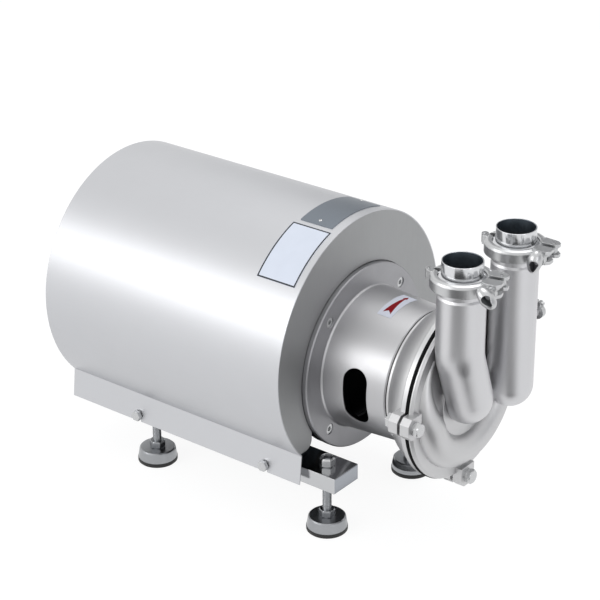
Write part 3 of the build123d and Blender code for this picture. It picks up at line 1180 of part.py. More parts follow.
def build_parts():
    parts = {}
    parts["rail_left"], parts["rail_right"] = both_sides(make_rail)
    places = {
        "front_left": (FOOT_FRONT_X, -rail_y), "front_right": (FOOT_FRONT_X, rail_y),
        "rear_left": (FOOT_REAR_X, -rail_y), "rear_right": (FOOT_REAR_X, rail_y)}
    for name, (x, y) in places.items():
        parts["foot_sole_" + name] = make_sole(x, y)
        parts["foot_pad_" + name] = make_pad(x, y)
        parts["foot_stud_" + name] = make_stud(x, y)
    parts["foot_lock_nuts"] = make_lock_nuts()
    parts["motor_frame"] = make_motor_frame()
    parts["motor_front_shield"] = make_front_shield()
    parts["motor_rear_shield"] = make_rear_shield()
    parts["stator"] = make_stator()
    parts["rotor_core"] = make_rotor_core()
    parts["motor_shaft"] = make_motor_shaft()
    parts["bearing_outer_rings"] = make_bearing_rings(BEARING_RADIUS - BEARING_RING, BEARING_RADIUS)
    inner_outer = BEARING_RADIUS - BEARING_RING - MOVE_GAP
    parts["bearing_inner_rings"] = make_bearing_rings(BEARING_BORE + RUN_GAP, inner_outer)
    parts["cooling_fan"] = make_fan()
    parts["fan_cowl"] = make_fan_cowl()
    parts["terminal_box"] = make_terminal_box()
    parts["terminal_box_lid"] = make_terminal_lid()
    parts["cable_gland"] = make_cable_gland()
    parts["motor_foot_bolts"] = make_motor_bolts()
    parts["shroud_shell"] = make_shroud_shell()
    parts["shroud_front_plate"] = make_front_plate()
    parts["shroud_rear_plate"] = make_rear_plate()
    parts["shroud_bolts"] = make_shroud_bolts()
    parts["lantern"] = make_lantern()
    parts["adapter_bolts"] = make_adapter_bolts()
    parts["pump_shaft"] = make_pump_shaft()
    parts["back_cover"] = make_back_cover()
    parts["casing_gasket"] = make_casing_gasket()
    bulge = front_half(channel(0.0), chamber_front + FRONT_WALL / 2)
    parts["front_casing"] = make_front_casing(bulge)
    parts["casing_bolts"] = make_casing_bolts()
    parts["seal_seat"] = make_seal_seat()
    parts["seal_ring"] = make_seal_ring()
    parts["impeller"] = make_impeller()
    parts["impeller_nut"] = make_impeller_nut()
    outer = suction_outer()
    parts["suction_pipe"] = make_suction_pipe(outer, bulge)
    parts["discharge_pipe"] = make_discharge_pipe(outer, bulge)
    ports = {
        "suction": (suction_y, suction_joint_z, SUCTION_CLAMP_TURN, SUCTION_WING_ANGLE),
        "discharge": (discharge_y, discharge_joint_z, DISCHARGE_CLAMP_TURN, DISCHARGE_WING_ANGLE)}
    for name, (y, joint, turn, wing_angle) in ports.items():
        parts[name + "_ferrule"] = make_weld_ferrule(y, joint)
        place = clamp_place(y, joint, turn)
        parts[name + "_clamp_fixed_half"] = place * make_fixed_half()
        parts[name + "_clamp_moving_half"] = place * make_moving_half()
        parts[name + "_clamp_bolt"] = place * make_clamp_bolt()
        parts[name + "_wing_nut"] = place * make_wing_nut(wing_angle)
    parts["port_gaskets"] = make_port_gaskets()
    parts["clamp_pins"] = make_clamp_pins()
    parts["side_port_cap"] = make_side_cap()
    parts["side_port_clamp"] = make_side_clamp()
    return parts


def main():
    os.makedirs("parts", exist_ok=True)
    parts = build_parts()
    low = min(shape.bounding_box().min.X for shape in parts.values())
    high = max(shape.bounding_box().max.X for shape in parts.values())
    middle = (low + high) / 2
    print("nodes", len(parts), "shaft height", shaft_z, "x of the flange face in the part's frame", -middle)
    for name, shape in parts.items():
        export_step(Pos(-middle, 0, 0) * shape, f"parts/{name}.step")


main()
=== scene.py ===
import json
import math

import bmesh
import bpy
from mathutils import Matrix, Vector


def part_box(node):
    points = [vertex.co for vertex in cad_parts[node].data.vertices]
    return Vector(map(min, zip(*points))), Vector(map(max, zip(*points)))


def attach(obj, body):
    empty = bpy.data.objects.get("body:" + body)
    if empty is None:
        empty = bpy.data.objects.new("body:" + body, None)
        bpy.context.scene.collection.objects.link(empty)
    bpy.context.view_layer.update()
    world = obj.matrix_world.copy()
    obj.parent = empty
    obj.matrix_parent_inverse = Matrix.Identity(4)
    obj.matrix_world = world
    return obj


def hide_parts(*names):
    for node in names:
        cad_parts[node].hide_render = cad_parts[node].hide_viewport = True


# A sanitary centrifugal pump in stainless steel, dressed on its solids. Lengths are in metres,
# X along the shaft towards the pump head, Y across, Z up, and the near side is the one at -Y.
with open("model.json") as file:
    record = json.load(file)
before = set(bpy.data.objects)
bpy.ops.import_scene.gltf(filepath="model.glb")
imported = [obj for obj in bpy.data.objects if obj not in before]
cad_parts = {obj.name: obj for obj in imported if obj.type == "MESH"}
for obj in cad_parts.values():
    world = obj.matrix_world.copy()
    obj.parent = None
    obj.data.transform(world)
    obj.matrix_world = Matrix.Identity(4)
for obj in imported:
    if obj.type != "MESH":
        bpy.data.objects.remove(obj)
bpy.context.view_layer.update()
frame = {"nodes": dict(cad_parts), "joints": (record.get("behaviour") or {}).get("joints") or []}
nodes = frame["nodes"]

# The view: a long lens from the near side, a little above the pump, as product shots have.
# All places below are counted from the shaft and from the front face of the adapter flange.
FLANGE_THICKNESS = 0.008
VIEW_AZIMUTH = math.radians(38.2)
VIEW_ELEVATION = math.radians(25.53)
VIEW_ROLL = math.radians(-0.28)
VIEW_DISTANCE = 2.5935
VIEW_LENS_MM = 118.3
FILM_WIDTH_MM = 36.0
TARGET_BEHIND_FLANGE = 0.1078
TARGET_ABOVE_SHAFT = 0.0476
lantern_low, lantern_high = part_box("lantern")
flange_x = lantern_low.x + FLANGE_THICKNESS
shaft_z = (lantern_low.z + lantern_high.z) / 2


def linked(name, data):
    """A new object in the scene that holds the given mesh, lamp or camera."""
    holder = bpy.data.objects.new(name, data)
    bpy.context.scene.collection.objects.link(holder)
    return holder


view_target = Vector((flange_x - TARGET_BEHIND_FLANGE, 0.0, shaft_z + TARGET_ABOVE_SHAFT))
view_back = Vector((
    math.sin(VIEW_AZIMUTH) * math.cos(VIEW_ELEVATION),
    -math.cos(VIEW_AZIMUTH) * math.cos(VIEW_ELEVATION),
    math.sin(VIEW_ELEVATION)))
camera_data = bpy.data.cameras.new("studio_camera")
camera_data.lens = VIEW_LENS_MM
camera_data.sensor_width = FILM_WIDTH_MM
camera = linked("studio_camera", camera_data)
camera.matrix_world = (
    Matrix.Translation(view_target + view_back * VIEW_DISTANCE)
    @ view_back.to_track_quat("Z", "Y").to_matrix().to_4x4()
    @ Matrix.Rotation(VIEW_ROLL, 4, "Z"))
bpy.context.scene.camera = camera
bpy.context.scene.view_settings.view_transform = "Standard"

# The studio: a white sweep with no visible edge, a broad softbox over the viewer's left shoulder,
# a top light, a narrow light ahead, and cards that the camera doesn't see, which put the grey and
# dark bands in the metal.
BACKDROP_WHITE = "#ffffff"
AMBIENT_STRENGTH = 0.80
FLOOR_HALF = 6.0
FLOOR_GLOW = 1.08
FLOOR_GLOW_SHARE = 0.84
MIDDLE_BEHIND_FLANGE = 0.1
CARD_ABOVE_FLOOR = 0.012
CARD_ROUGHNESS = 0.9


def feed(tree, node, inputs):
    """Gives each input of a node a value, or links another node's output to it."""
    for name, value in inputs.items():
        if isinstance(value, bpy.types.NodeSocket):
            tree.links.new(value, node.inputs[name])
        else:
            node.inputs[name].default_value = value


def add_node(tree, kind, inputs=None, **settings):
    """Adds a node with the given settings and inputs."""
    node = tree.nodes.new(kind)
    for name, value in settings.items():
        setattr(node, name, value)
    feed(tree, node, inputs or {})
    return node


def reckon(tree, operation, *values):
    """The output of a math node that works on the given numbers and outputs."""
    numbers = dict(enumerate(values))
    return add_node(tree, "ShaderNodeMath", numbers, operation=operation).outputs[0]


def colour(hex_code):
    """A linear RGBA colour from an sRGB hex code."""
    channels = [int(hex_code[i:i + 2], 16) / 255 for i in (1, 3, 5)]
    linear = [c / 12.92 if c <= 0.04045 else ((c + 0.055) / 1.055) ** 2.4 for c in channels]
    return (*linear, 1.0)


def level_sheet(name, half_x, half_y):
    """A level rectangle round the origin."""
    sheet = bpy.data.meshes.new(name)
    sheet.from_pydata([
        (-half_x, -half_y, 0), (half_x, -half_y, 0), (half_x, half_y, 0), (-half_x, half_y, 0)],
        [], [(0, 1, 2, 3)])
    return sheet


world = bpy.data.worlds.new("white_sweep")
bpy.context.scene.world = world
world.use_nodes = True
tree = world.node_tree
tree.nodes.clear()
ray = add_node(tree, "ShaderNodeLightPath").outputs
seen = reckon(tree, "MAXIMUM", ray["Is Camera Ray"], ray["Is Glossy Ray"])
seen_white = reckon(tree, "MAXIMUM", seen, ray["Is Transmission Ray"])
ambient = add_node(tree, "ShaderNodeBackground", {
    "Color": colour("#f4f6fa"), "Strength": AMBIENT_STRENGTH})
white = add_node(tree, "ShaderNodeBackground", {
    "Color": colour(BACKDROP_WHITE), "Strength": 1.0})
backdrop = add_node(tree, "ShaderNodeMixShader", {
    "Fac": seen_white, 1: ambient.outputs[0], 2: white.outputs[0]})
add_node(tree, "ShaderNodeOutputWorld", {"Surface": backdrop.outputs[0]})

floor_paint = bpy.data.materials.new("white_floor")
floor_paint.use_nodes = True
tree = floor_paint.node_tree
tree.nodes.clear()
ray = add_node(tree, "ShaderNodeLightPath").outputs
seen = reckon(tree, "MAXIMUM", ray["Is Camera Ray"], ray["Is Glossy Ray"])
matt = add_node(tree, "ShaderNodeBsdfDiffuse", {"Color": colour("#f2f2f2")})
glow = add_node(tree, "ShaderNodeEmission", {
    "Color": colour(BACKDROP_WHITE), "Strength": FLOOR_GLOW})
floor_mix = add_node(tree, "ShaderNodeMixShader", {
    "Fac": reckon(tree, "MULTIPLY", seen, FLOOR_GLOW_SHARE), 1: matt.outputs[0],
    2: glow.outputs[0]})
add_node(tree, "ShaderNodeOutputMaterial", {"Surface": floor_mix.outputs[0]})
floor_mesh = level_sheet("studio_floor", FLOOR_HALF, FLOOR_HALF)
floor_mesh.materials.append(floor_paint)
floor = linked("studio_floor", floor_mesh)


def softbox(name, place, aim, width, height, watts):
    """A rectangular area lamp at place that faces aim."""
    lamp = bpy.data.lights.new(name, "AREA")
    lamp.shape = "RECTANGLE"
    lamp.size = width
    lamp.size_y = height
    lamp.energy = watts
    holder = linked(name, lamp)
    holder.location = place
    holder.rotation_euler = (aim - place).to_track_quat("-Z", "Y").to_euler()


def card(name, place, aim, width, height, tone):
    """A matt card at place, facing aim, that only the shine of the metal sees."""
    sheet = level_sheet(name, width / 2, height / 2)
    facing = (aim - place).to_track_quat("Z", "Y").to_matrix().to_4x4()
    sheet.transform(Matrix.Translation(place) @ facing)
    paint = bpy.data.materials.new(name)
    paint.use_nodes = True
    feed(paint.node_tree, paint.node_tree.nodes["Principled BSDF"], {
        "Base Color": colour(tone), "Roughness": CARD_ROUGHNESS})
    sheet.materials.append(paint)
    holder = linked(name, sheet)
    holder.visible_camera = False
    holder.visible_diffuse = False
    holder.visible_shadow = False


middle = Vector((flange_x - MIDDLE_BEHIND_FLANGE, 0.0, shaft_z))
for name, shift, aim_ahead, width, height, watts in (
        ("key_softbox", (-0.9, -2.05, 0.98), 0.0, 2.2, 1.0, 19),
        ("top_softbox", (0.2, 0.5, 2.3), 0.0, 1.4, 1.4, 14),
        ("strip_softbox", (2.4, -0.62, 0.38), 0.25, 0.40, 1.0, 5)):
    softbox(name, middle + Vector(shift), middle + Vector((aim_ahead, 0, 0)), width, height, watts)
for name, shift, width, height, tone in (
        ("right_card", (2.4, 0.2, 0.1), 3.4, 1.9, "#d4d4d5"),
        ("back_card", (-0.2, 2.6, 1.4), 3.0, 1.4, "#9a9a9b")):
    card(name, middle + Vector(shift), middle, width, height, tone)
for name, ahead, y, width, height, tone in (
        ("front_card", 0.55, -1.07, 1.05, 1.06, "#0c0c0d"),
        ("low_card", 0.42, -0.24, 0.30, 0.34, "#2c2c2d"),
        ("under_card", -0.10, 0.18, 0.40, 0.50, "#6a6b6d")):
    place = Vector((flange_x + ahead, y, CARD_ABOVE_FLOOR))
    card(name, place, place + Vector((0, 0, 1)), width, height, tone)

# The rails: two flat stainless bars, cold drawn bright, so the die leaves long fine lines and a
# top that mirrors the dark underside of the shroud, while the sawn and milled ends stay satin.
MILLED_DEPTH = 0.0004
CLOUD_PER_METRE = 24.0


def opened(material):
    """A material's node tree, its shader and the places that patterns are laid on."""
    material.use_nodes = True
    tree = material.node_tree
    return tree, tree.nodes["Principled BSDF"], add_node(tree, "ShaderNodeTexCoord").outputs


def shaded(tone, share):
    """A colour at a share of its brightness."""
    return (*(c * share for c in colour(tone)[:3]), 1.0)


def blend(tree, share, low, high, kind="RGBA"):
    """A mix of two colours or numbers, low where share is 0 and high where it is 1."""
    return add_node(tree, "ShaderNodeMix", {
        "Factor": share, "A": low, "B": high}, data_type=kind).outputs["Result"]


def noise(tree, place, per_metre, detail, roughness=0.5):
    """An uneven pattern of the given fineness."""
    return add_node(tree, "ShaderNodeTexNoise", {
        "Vector": place, "Scale": per_metre, "Detail": detail,
        "Roughness": roughness}).outputs["Fac"]


def uneven(tree, pattern, value):
    """A value that a pattern moves by a fifth either way."""
    return add_node(tree, "ShaderNodeMapRange", {
        "Value": pattern, "To Min": value * 0.8, "To Max": value * 1.2}).outputs[0]


def raised(tree, pattern, strength, depth_mm, under=None):
    """The normals of a surface that a pattern raises, over the normals under it."""
    bump = add_node(tree, "ShaderNodeBump", {
        "Height": pattern, "Strength": strength, "Distance": depth_mm / 1000})
    if under is not None:
        feed(tree, bump, {"Normal": under})
    return bump.outputs[0]


def steel(name, tone, roughness, grain_mm, stretch=(1, 1, 1), depth_mm=0.01, mottle=0.06,
          round_mm=0.0):
    """Bare metal: a grain of grain_mm, drawn out along X, Y and Z by stretch, and worn edges."""
    metal = bpy.data.materials.new(name)
    tree, shader, place = opened(metal)
    drawn = add_node(tree, "ShaderNodeMapping", {
        "Vector": place["Object"], "Scale": tuple(1000 / grain_mm / s for s in stretch)})
    grain = noise(tree, drawn.outputs[0], per_metre=1.0, detail=3.0, roughness=0.6)
    cloud = noise(tree, place["Object"], CLOUD_PER_METRE, detail=4.0)
    edge = None
    if round_mm:
        edge = add_node(tree, "ShaderNodeBevel", {"Radius": round_mm / 1000}, samples=6).outputs[0]
    feed(tree, shader, {
        "Metallic": 1.0, "Base Color": blend(tree, cloud, shaded(tone, 1 - mottle), colour(tone)),
        "Roughness": uneven(tree, grain, roughness),
        "Normal": raised(tree, grain, strength=0.5, depth_mm=depth_mm, under=edge)})
    return metal


def dress(material, *node_names):
    """Puts one material on solids that are shown as they are."""
    for node_name in node_names:
        mesh = nodes[node_name].data
        mesh.materials.clear()
        mesh.materials.append(material)


bright_drawn_bar = steel(
    "bright_drawn_stainless_bar", "#c2c3c5", roughness=0.15, grain_mm=0.4, stretch=(60, 1, 1),
    depth_mm=0.003, mottle=0.05, round_mm=1.0)
tree, shader, place = opened(bright_drawn_bar)
along = add_node(tree, "ShaderNodeSeparateXYZ", {0: place["Object"]}).outputs["X"]
# The milled ends get a darker, bluish tone: painted shade on the end faces.
shaded_milled_end = reckon(tree, "GREATER_THAN", along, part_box("rail_left")[1].x - MILLED_DEPTH)
drawn_tone = shader.inputs["Base Color"].links[0].from_socket
feed(tree, shader, {"Base Color": blend(tree, shaded_milled_end, drawn_tone, colour("#a0a4aa"))})
dress(bright_drawn_bar, "rail_left", "rail_right")

# The levelling feet: a turned steel pad on a bonded black rubber sole, and a stainless stud with a
# rolled M12 thread, a hexagon just above the pad and a pin that stands in it.
SOLE_HEIGHT_MM = 6.0
PAD_HEIGHT_MM = 15.0
PAD_GROOVE_SCALE = 320.0
HEX_HEIGHT_MM = 10.0
HEX_ACROSS_MM = 19.0
HEX_BEVEL_MM = 1.1
HEX_END_SHARE = 0.98
STUD_ROOT_MM = 5.5
STUD_END_MM = 107.0
STUD_CONE_MM = (1.0, 1.2)
THREAD_TOOTH_MM = 0.5
THREAD_LIFT_MM = 0.02
THREAD_PITCH_MM = 1.75
THREAD_AFTER_HEX_MM = 1.4
THREAD_BEFORE_END_MM = 1.6
PIN_RADIUS_MM = 5.0
PIN_DEPTH_MM = 7.9
SUNK_MM = 0.2
FOOT_CORNERS = ("front_left", "front_right", "rear_left", "rear_right")


def axis_of(box):
    """X and Y of the upright axis through the middle of a box."""
    low, high = box
    return (low.x + high.x) / 2, (low.y + high.y) / 2


def turned_pad(name, centre):
    """Turned steel: a fine face-turned groove winds round the pad's own axis, 1 mm a turn."""
    metal = steel(
        name, "#a3a5a8", roughness=0.28, grain_mm=0.5, depth_mm=0.003, mottle=0.10, round_mm=0.6)
    tree, shader, place = opened(metal)
    centred = add_node(tree, "ShaderNodeMapping", {
        "Vector": place["Object"], "Location": (-centre[0], -centre[1], 0)})
    groove = add_node(tree, "ShaderNodeTexWave", {
        "Vector": centred.outputs[0], "Scale": PAD_GROOVE_SCALE, "Distortion": 0.0},
        wave_type="RINGS", rings_direction="Z").outputs["Fac"]
    grain = shader.inputs["Normal"].links[0].from_socket
    feed(tree, shader, {
        "Normal": raised(tree, groove, strength=0.25, depth_mm=0.02, under=grain)})
    return metal


def geometry_tree(name, sockets):
    """A new geometry tree with the given inputs, and its input node's outputs."""
    group = bpy.data.node_groups.new(name, "GeometryNodeTree")
    for way, labels in (("INPUT", {"Geometry": "Geometry", **sockets}),
                        ("OUTPUT", {"Geometry": "Geometry"})):
        for label, kind in labels.items():
            group.interface.new_socket(label, in_out=way, socket_type="NodeSocket" + kind)
    return group, add_node(group, "NodeGroupInput").outputs


def thread_tree(name):
    """A rolled thread: a diamond profile swept up a helix, cut to length, with its material set."""
    group, given = geometry_tree(name, {
        "Radius": "Float", "Tooth": "Float", "Turns": "Float", "Length": "Float",
        "Start": "Vector", "Steel": "Material"})
    helix = add_node(group, "GeometryNodeCurveSpiral", {
        "Resolution": 28, "Rotations": given["Turns"], "Start Radius": given["Radius"],
        "End Radius": given["Radius"], "Height": given["Length"]})
    tooth = add_node(group, "GeometryNodeCurvePrimitiveCircle", {
        "Resolution": 4, "Radius": given["Tooth"]})
    ridge = add_node(group, "GeometryNodeCurveToMesh", {
        "Curve": helix.outputs[0], "Profile Curve": tooth.outputs[0], "Fill Caps": True})
    placed = add_node(group, "GeometryNodeTransform", {
        "Geometry": ridge.outputs[0], "Translation": given["Start"]})
    metal = add_node(group, "GeometryNodeSetMaterial", {
        "Geometry": placed.outputs[0], "Material": given["Steel"]})
    add_node(group, "NodeGroupOutput", {"Geometry": metal.outputs[0]})
    return group


def grown(name, group, values, points=()):
    """A plain mesh that a geometry tree makes from the given values. It may stand on points, each a
    place and a direction: a tiny face there has a normal that aims what grows on it."""
    tiny = 1e-6
    verts, faces = [], []
    for place, direction in points:
        side = direction.orthogonal().normalized() * tiny
        other = direction.cross(side).normalized() * tiny
        start = len(verts)
        verts += [place + side, place + other, place - side]
        faces.append((start, start + 1, start + 2))
    seed_mesh = bpy.data.meshes.new(name + "_seed")
    seed_mesh.from_pydata(verts, [], faces)
    seed = linked(name + "_seed", seed_mesh)
    growth = seed.modifiers.new(name, "NODES")
    growth.node_group = group
    for item in group.interface.items_tree:
        if item.in_out == "INPUT" and item.name in values:
            growth[item.identifier] = values[item.name]
    depsgraph = bpy.context.evaluated_depsgraph_get()
    result = bpy.data.meshes.new_from_object(seed.evaluated_get(depsgraph))
    bpy.data.objects.remove(seed)
    result.name = name
    return result


def loft(solid, rows, looped=False):
    """Skins rings of places: a solid closed at both ends, or one ring where it is looped."""
    rings = [[solid.verts.new(place) for place in row] for row in rows]
    for low, high in zip(rings, rings[1:] + rings[:1] if looped else rings[1:]):
        for k in range(len(low)):
            after = (k + 1) % len(low)
            solid.faces.new((low[k], low[after], high[after], high[k]))
    if not looped:
        solid.faces.new(list(reversed(rings[0])))
        solid.faces.new(rings[-1])


def lathe(solid, profile, centre, steps, bored=False, flats=None):
    """Turns (radius, height) pairs round an upright axis at centre: a solid, or a ring where it is
    bored. Six flats at the given distance from the axis cut it to a hexagon."""
    rows = []
    for radius, height in profile:
        row = []
        for k in range(steps):
            turn = 2 * math.pi * k / steps
            reach = radius
            if flats:
                off_flat = (turn + math.pi / 6) % (math.pi / 3) - math.pi / 6
                reach = min(radius, flats / math.cos(off_flat))
            row.append((
                centre[0] + reach * math.cos(turn), centre[1] + reach * math.sin(turn), height))
        rows.append(row)
    loft(solid, rows, looped=bored)


def finished(name, solid, *materials):
    """The mesh of a built solid, with its faces turned outwards and its materials in order."""
    bmesh.ops.recalc_face_normals(solid, faces=solid.faces)
    mesh = bpy.data.meshes.new(name)
    solid.to_mesh(mesh)
    solid.free()
    for material in materials:
        mesh.materials.append(material)
    return mesh


def placed_piece(name, mesh, body):
    """Links a finished mesh as a piece that rides on a body."""
    piece = linked(name, mesh)
    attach(piece, body)
    return piece


bright_bolt_steel = steel(
    "bright_stainless_bolt", "#c8c9ca", roughness=0.24, grain_mm=0.3, depth_mm=0.003, mottle=0.08,
    round_mm=0.35)
rolled_stud_steel = steel(
    "rolled_stud_stainless", "#a2a4a7", roughness=0.26, grain_mm=0.3, depth_mm=0.003, mottle=0.08,
    round_mm=0.2)
stud_thread = thread_tree("rolled_stud_thread")
hex_flats = HEX_ACROSS_MM / 2000
hex_points = hex_flats / math.cos(math.pi / 6)
hex_bevel = HEX_BEVEL_MM / 1000
sunk = SUNK_MM / 1000
pad_top = (SOLE_HEIGHT_MM + PAD_HEIGHT_MM) / 1000
hex_top = pad_top + HEX_HEIGHT_MM / 1000
stud_top = STUD_END_MM / 1000
root = STUD_ROOT_MM / 1000
pin = PIN_RADIUS_MM / 1000
thread_mm = (STUD_END_MM - THREAD_BEFORE_END_MM) - (
    SOLE_HEIGHT_MM + PAD_HEIGHT_MM + HEX_HEIGHT_MM + THREAD_AFTER_HEX_MM)
for corner in FOOT_CORNERS:
    centre = axis_of(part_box("foot_pad_" + corner))
    dress(turned_pad("turned_pad_" + corner, centre), "foot_pad_" + corner)
    body = bmesh.new()
    lathe(body, [(pin, pad_top - PIN_DEPTH_MM / 1000), (pin, pad_top + sunk)], centre, steps=32)
    lathe(body, [
        (hex_flats * HEX_END_SHARE, pad_top), (hex_points, pad_top + hex_bevel),
        (hex_points, hex_top - hex_bevel), (hex_flats * HEX_END_SHARE, hex_top)],
        centre, steps=48, flats=hex_flats)
    lathe(body, [
        (root, hex_top - sunk), (root, stud_top - STUD_CONE_MM[1] / 1000),
        (root - STUD_CONE_MM[0] / 1000, stud_top)], centre, steps=40)
    body.from_mesh(grown("stud_thread_" + corner, stud_thread, {
        "Radius": root + THREAD_LIFT_MM / 1000, "Tooth": THREAD_TOOTH_MM / 1000,
        "Turns": thread_mm / THREAD_PITCH_MM, "Length": thread_mm / 1000,
        "Start": (*centre, hex_top + THREAD_AFTER_HEX_MM / 1000), "Steel": rolled_stud_steel}))
    stud_mesh = finished("threaded_stud_" + corner, body, rolled_stud_steel)
    for face in stud_mesh.polygons:
        face.material_index = 0
    stud = placed_piece("threaded_stud_" + corner, stud_mesh, corner + "_stud")
    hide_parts("foot_stud_" + corner)


def rubber(name, tone, roughness, shine=0.5):
    """Moulded rubber: near black and matt, with a fine pebble from the mould, about 1 mm across."""
    skin = bpy.data.materials.new(name)
    tree, shader, place = opened(skin)
    pebble = noise(tree, place["Object"], per_metre=900.0, detail=2.0)
    shade = add_node(tree, "ShaderNodeVectorMath", {
        0: colour(tone)[:3], "Scale": uneven(tree, pebble, 1.0)}, operation="SCALE")
    feed(tree, shader, {
        "Base Color": shade.outputs[0],
        "Normal": raised(tree, pebble, strength=0.4, depth_mm=0.1),
        "Roughness": roughness, "Specular IOR Level": shine})
    return skin


moulded_black_rubber = rubber("moulded_black_rubber", "#141414", roughness=0.55)
dress(moulded_black_rubber, *("foot_sole_" + corner for corner in FOOT_CORNERS))

# The lock nuts: M12 hexagons on the rails, cut from bar with a cone at both ends, and turned out at
# the top to a ring in which the stud's end stands.
NUT_BORE_MM = 6.3
NUT_TOP_CONE_MM = 2.2
NUT_TOP_SHARE = 0.91
NUT_FOOT_CONE_MM = 1.5
NUT_FOOT_SHARE = 0.93
NUT_RING_MM = (7.9, 7.2)
NUT_RING_DEPTH_MM = 2.6


def smooth(mesh, sharp_degrees):
    """Shades a mesh smooth, but for the edges that turn by more than sharp_degrees."""
    for face in mesh.polygons:
        face.use_smooth = True
    mesh.set_sharp_from_angle(angle=math.radians(sharp_degrees))


nut_low, nut_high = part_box("foot_lock_nuts")
ring_floor = nut_high.z - NUT_RING_DEPTH_MM / 1000
nut_outline = [
    (NUT_BORE_MM / 1000, nut_low.z), (hex_flats * NUT_FOOT_SHARE, nut_low.z),
    (hex_points, nut_low.z + NUT_FOOT_CONE_MM / 1000),
    (hex_points, nut_high.z - NUT_TOP_CONE_MM / 1000), (hex_flats * NUT_TOP_SHARE, nut_high.z),
    (NUT_RING_MM[0] / 1000, nut_high.z), (NUT_RING_MM[1] / 1000, ring_floor),
    (NUT_BORE_MM / 1000, ring_floor)]
lock_nuts = bmesh.new()
for corner in FOOT_CORNERS:
    centre = axis_of(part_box("foot_pad_" + corner))
    lathe(lock_nuts, nut_outline, centre, steps=96, bored=True, flats=hex_flats)
nuts_mesh = finished("turned_lock_nuts", lock_nuts, bright_bolt_steel)
smooth(nuts_mesh, sharp_degrees=20)
turned_nuts = placed_piece("turned_lock_nuts", nuts_mesh, "base")
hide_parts("foot_lock_nuts")


# The motor: a finned cast frame and shields in grey enamel, the front shield near black as painted
# shade behind the adapter flange, a laminated core, a ground shaft on ball bearings, a moulded fan
# under a pressed cowl, and a terminal box.
def enamel(name, tone, roughness):
    """Sprayed machine enamel: a hard gloss broken by orange peel about 2 mm across."""
    paint = bpy.data.materials.new(name)
    tree, shader, place = opened(paint)
    peel = noise(tree, place["Object"], per_metre=420.0, detail=2.0)
    cloud = noise(tree, place["Object"], per_metre=18.0, detail=3.0)
    feed(tree, shader, {
        "Base Color": blend(tree, cloud, shaded(tone, share=0.88), colour(tone)),
        "Normal": raised(tree, peel, strength=0.3, depth_mm=0.12),
        "Roughness": uneven(tree, peel, roughness)})
    return paint


varnished_lamination = steel(
    "varnished_lamination_steel", "#6b5a4a", roughness=0.5, grain_mm=0.5, stretch=(1, 20, 20),
    depth_mm=0.05)
ground_shaft_steel = steel(
    "ground_shaft_steel", "#b4b4b3", roughness=0.18, grain_mm=0.3, stretch=(1, 30, 30),
    depth_mm=0.003)
dress(enamel("grey_motor_enamel", "#3f464d", roughness=0.42),
      "motor_frame", "motor_rear_shield", "terminal_box", "terminal_box_lid", "fan_cowl")
# The front shield's near-black enamel is painted shade in the gap behind the adapter flange.
dress(enamel("shaded_black_shield_enamel", "#1b1c1e", roughness=0.40), "motor_front_shield")
dress(varnished_lamination, "stator", "rotor_core")
dress(ground_shaft_steel,
      "motor_shaft", "bearing_outer_rings", "bearing_inner_rings", "pump_shaft")
dress(enamel("moulded_polypropylene", "#2a2a2b", roughness=0.5), "cooling_fan", "cable_gland")
dress(bright_bolt_steel, "motor_foot_bolts")

# The shroud: stainless sheet 1.5 mm thick, rolled, with a fine satin grain along the roll, bent
# into a skirt at each side and bolted to the rails. The end plates are the same sheet, laser cut.
satin_shroud_sheet = steel(
    "satin_rolled_sheet", "#c9cacd", roughness=0.44, grain_mm=0.5, stretch=(60, 1, 1),
    depth_mm=0.005, mottle=0.03, round_mm=0.4)
# The end plates get a darker tone than the shell: painted shade on them.
shaded_plate_sheet = steel(
    "mill_finish_shaded_plate", "#a8a9aa", roughness=0.50, grain_mm=0.6, stretch=(1, 1, 40),
    depth_mm=0.005, mottle=0.04, round_mm=0.5)
dress(satin_shroud_sheet, "shroud_shell")
dress(shaded_plate_sheet, "shroud_front_plate", "shroud_rear_plate")
dress(bright_bolt_steel, "shroud_bolts")

# The nameplate: a bare sheet of dull anodised aluminium, 0.8 mm thick, bent to the shroud's drum,
# with rolled lines across it and a faint dark bloom.
DRUM_RADIUS_MM = 172.8
DRUM_ABOVE_SHAFT_MM = 21.6
NAMEPLATE_X_MM = (-70.0, -20.0)
NAMEPLATE_TURNS = (74.5, 109.0)
PLATE_STEPS_ALONG = 24
PLATE_STEPS_ROUND = 30
PLATE_CORNER_STEPS = 6


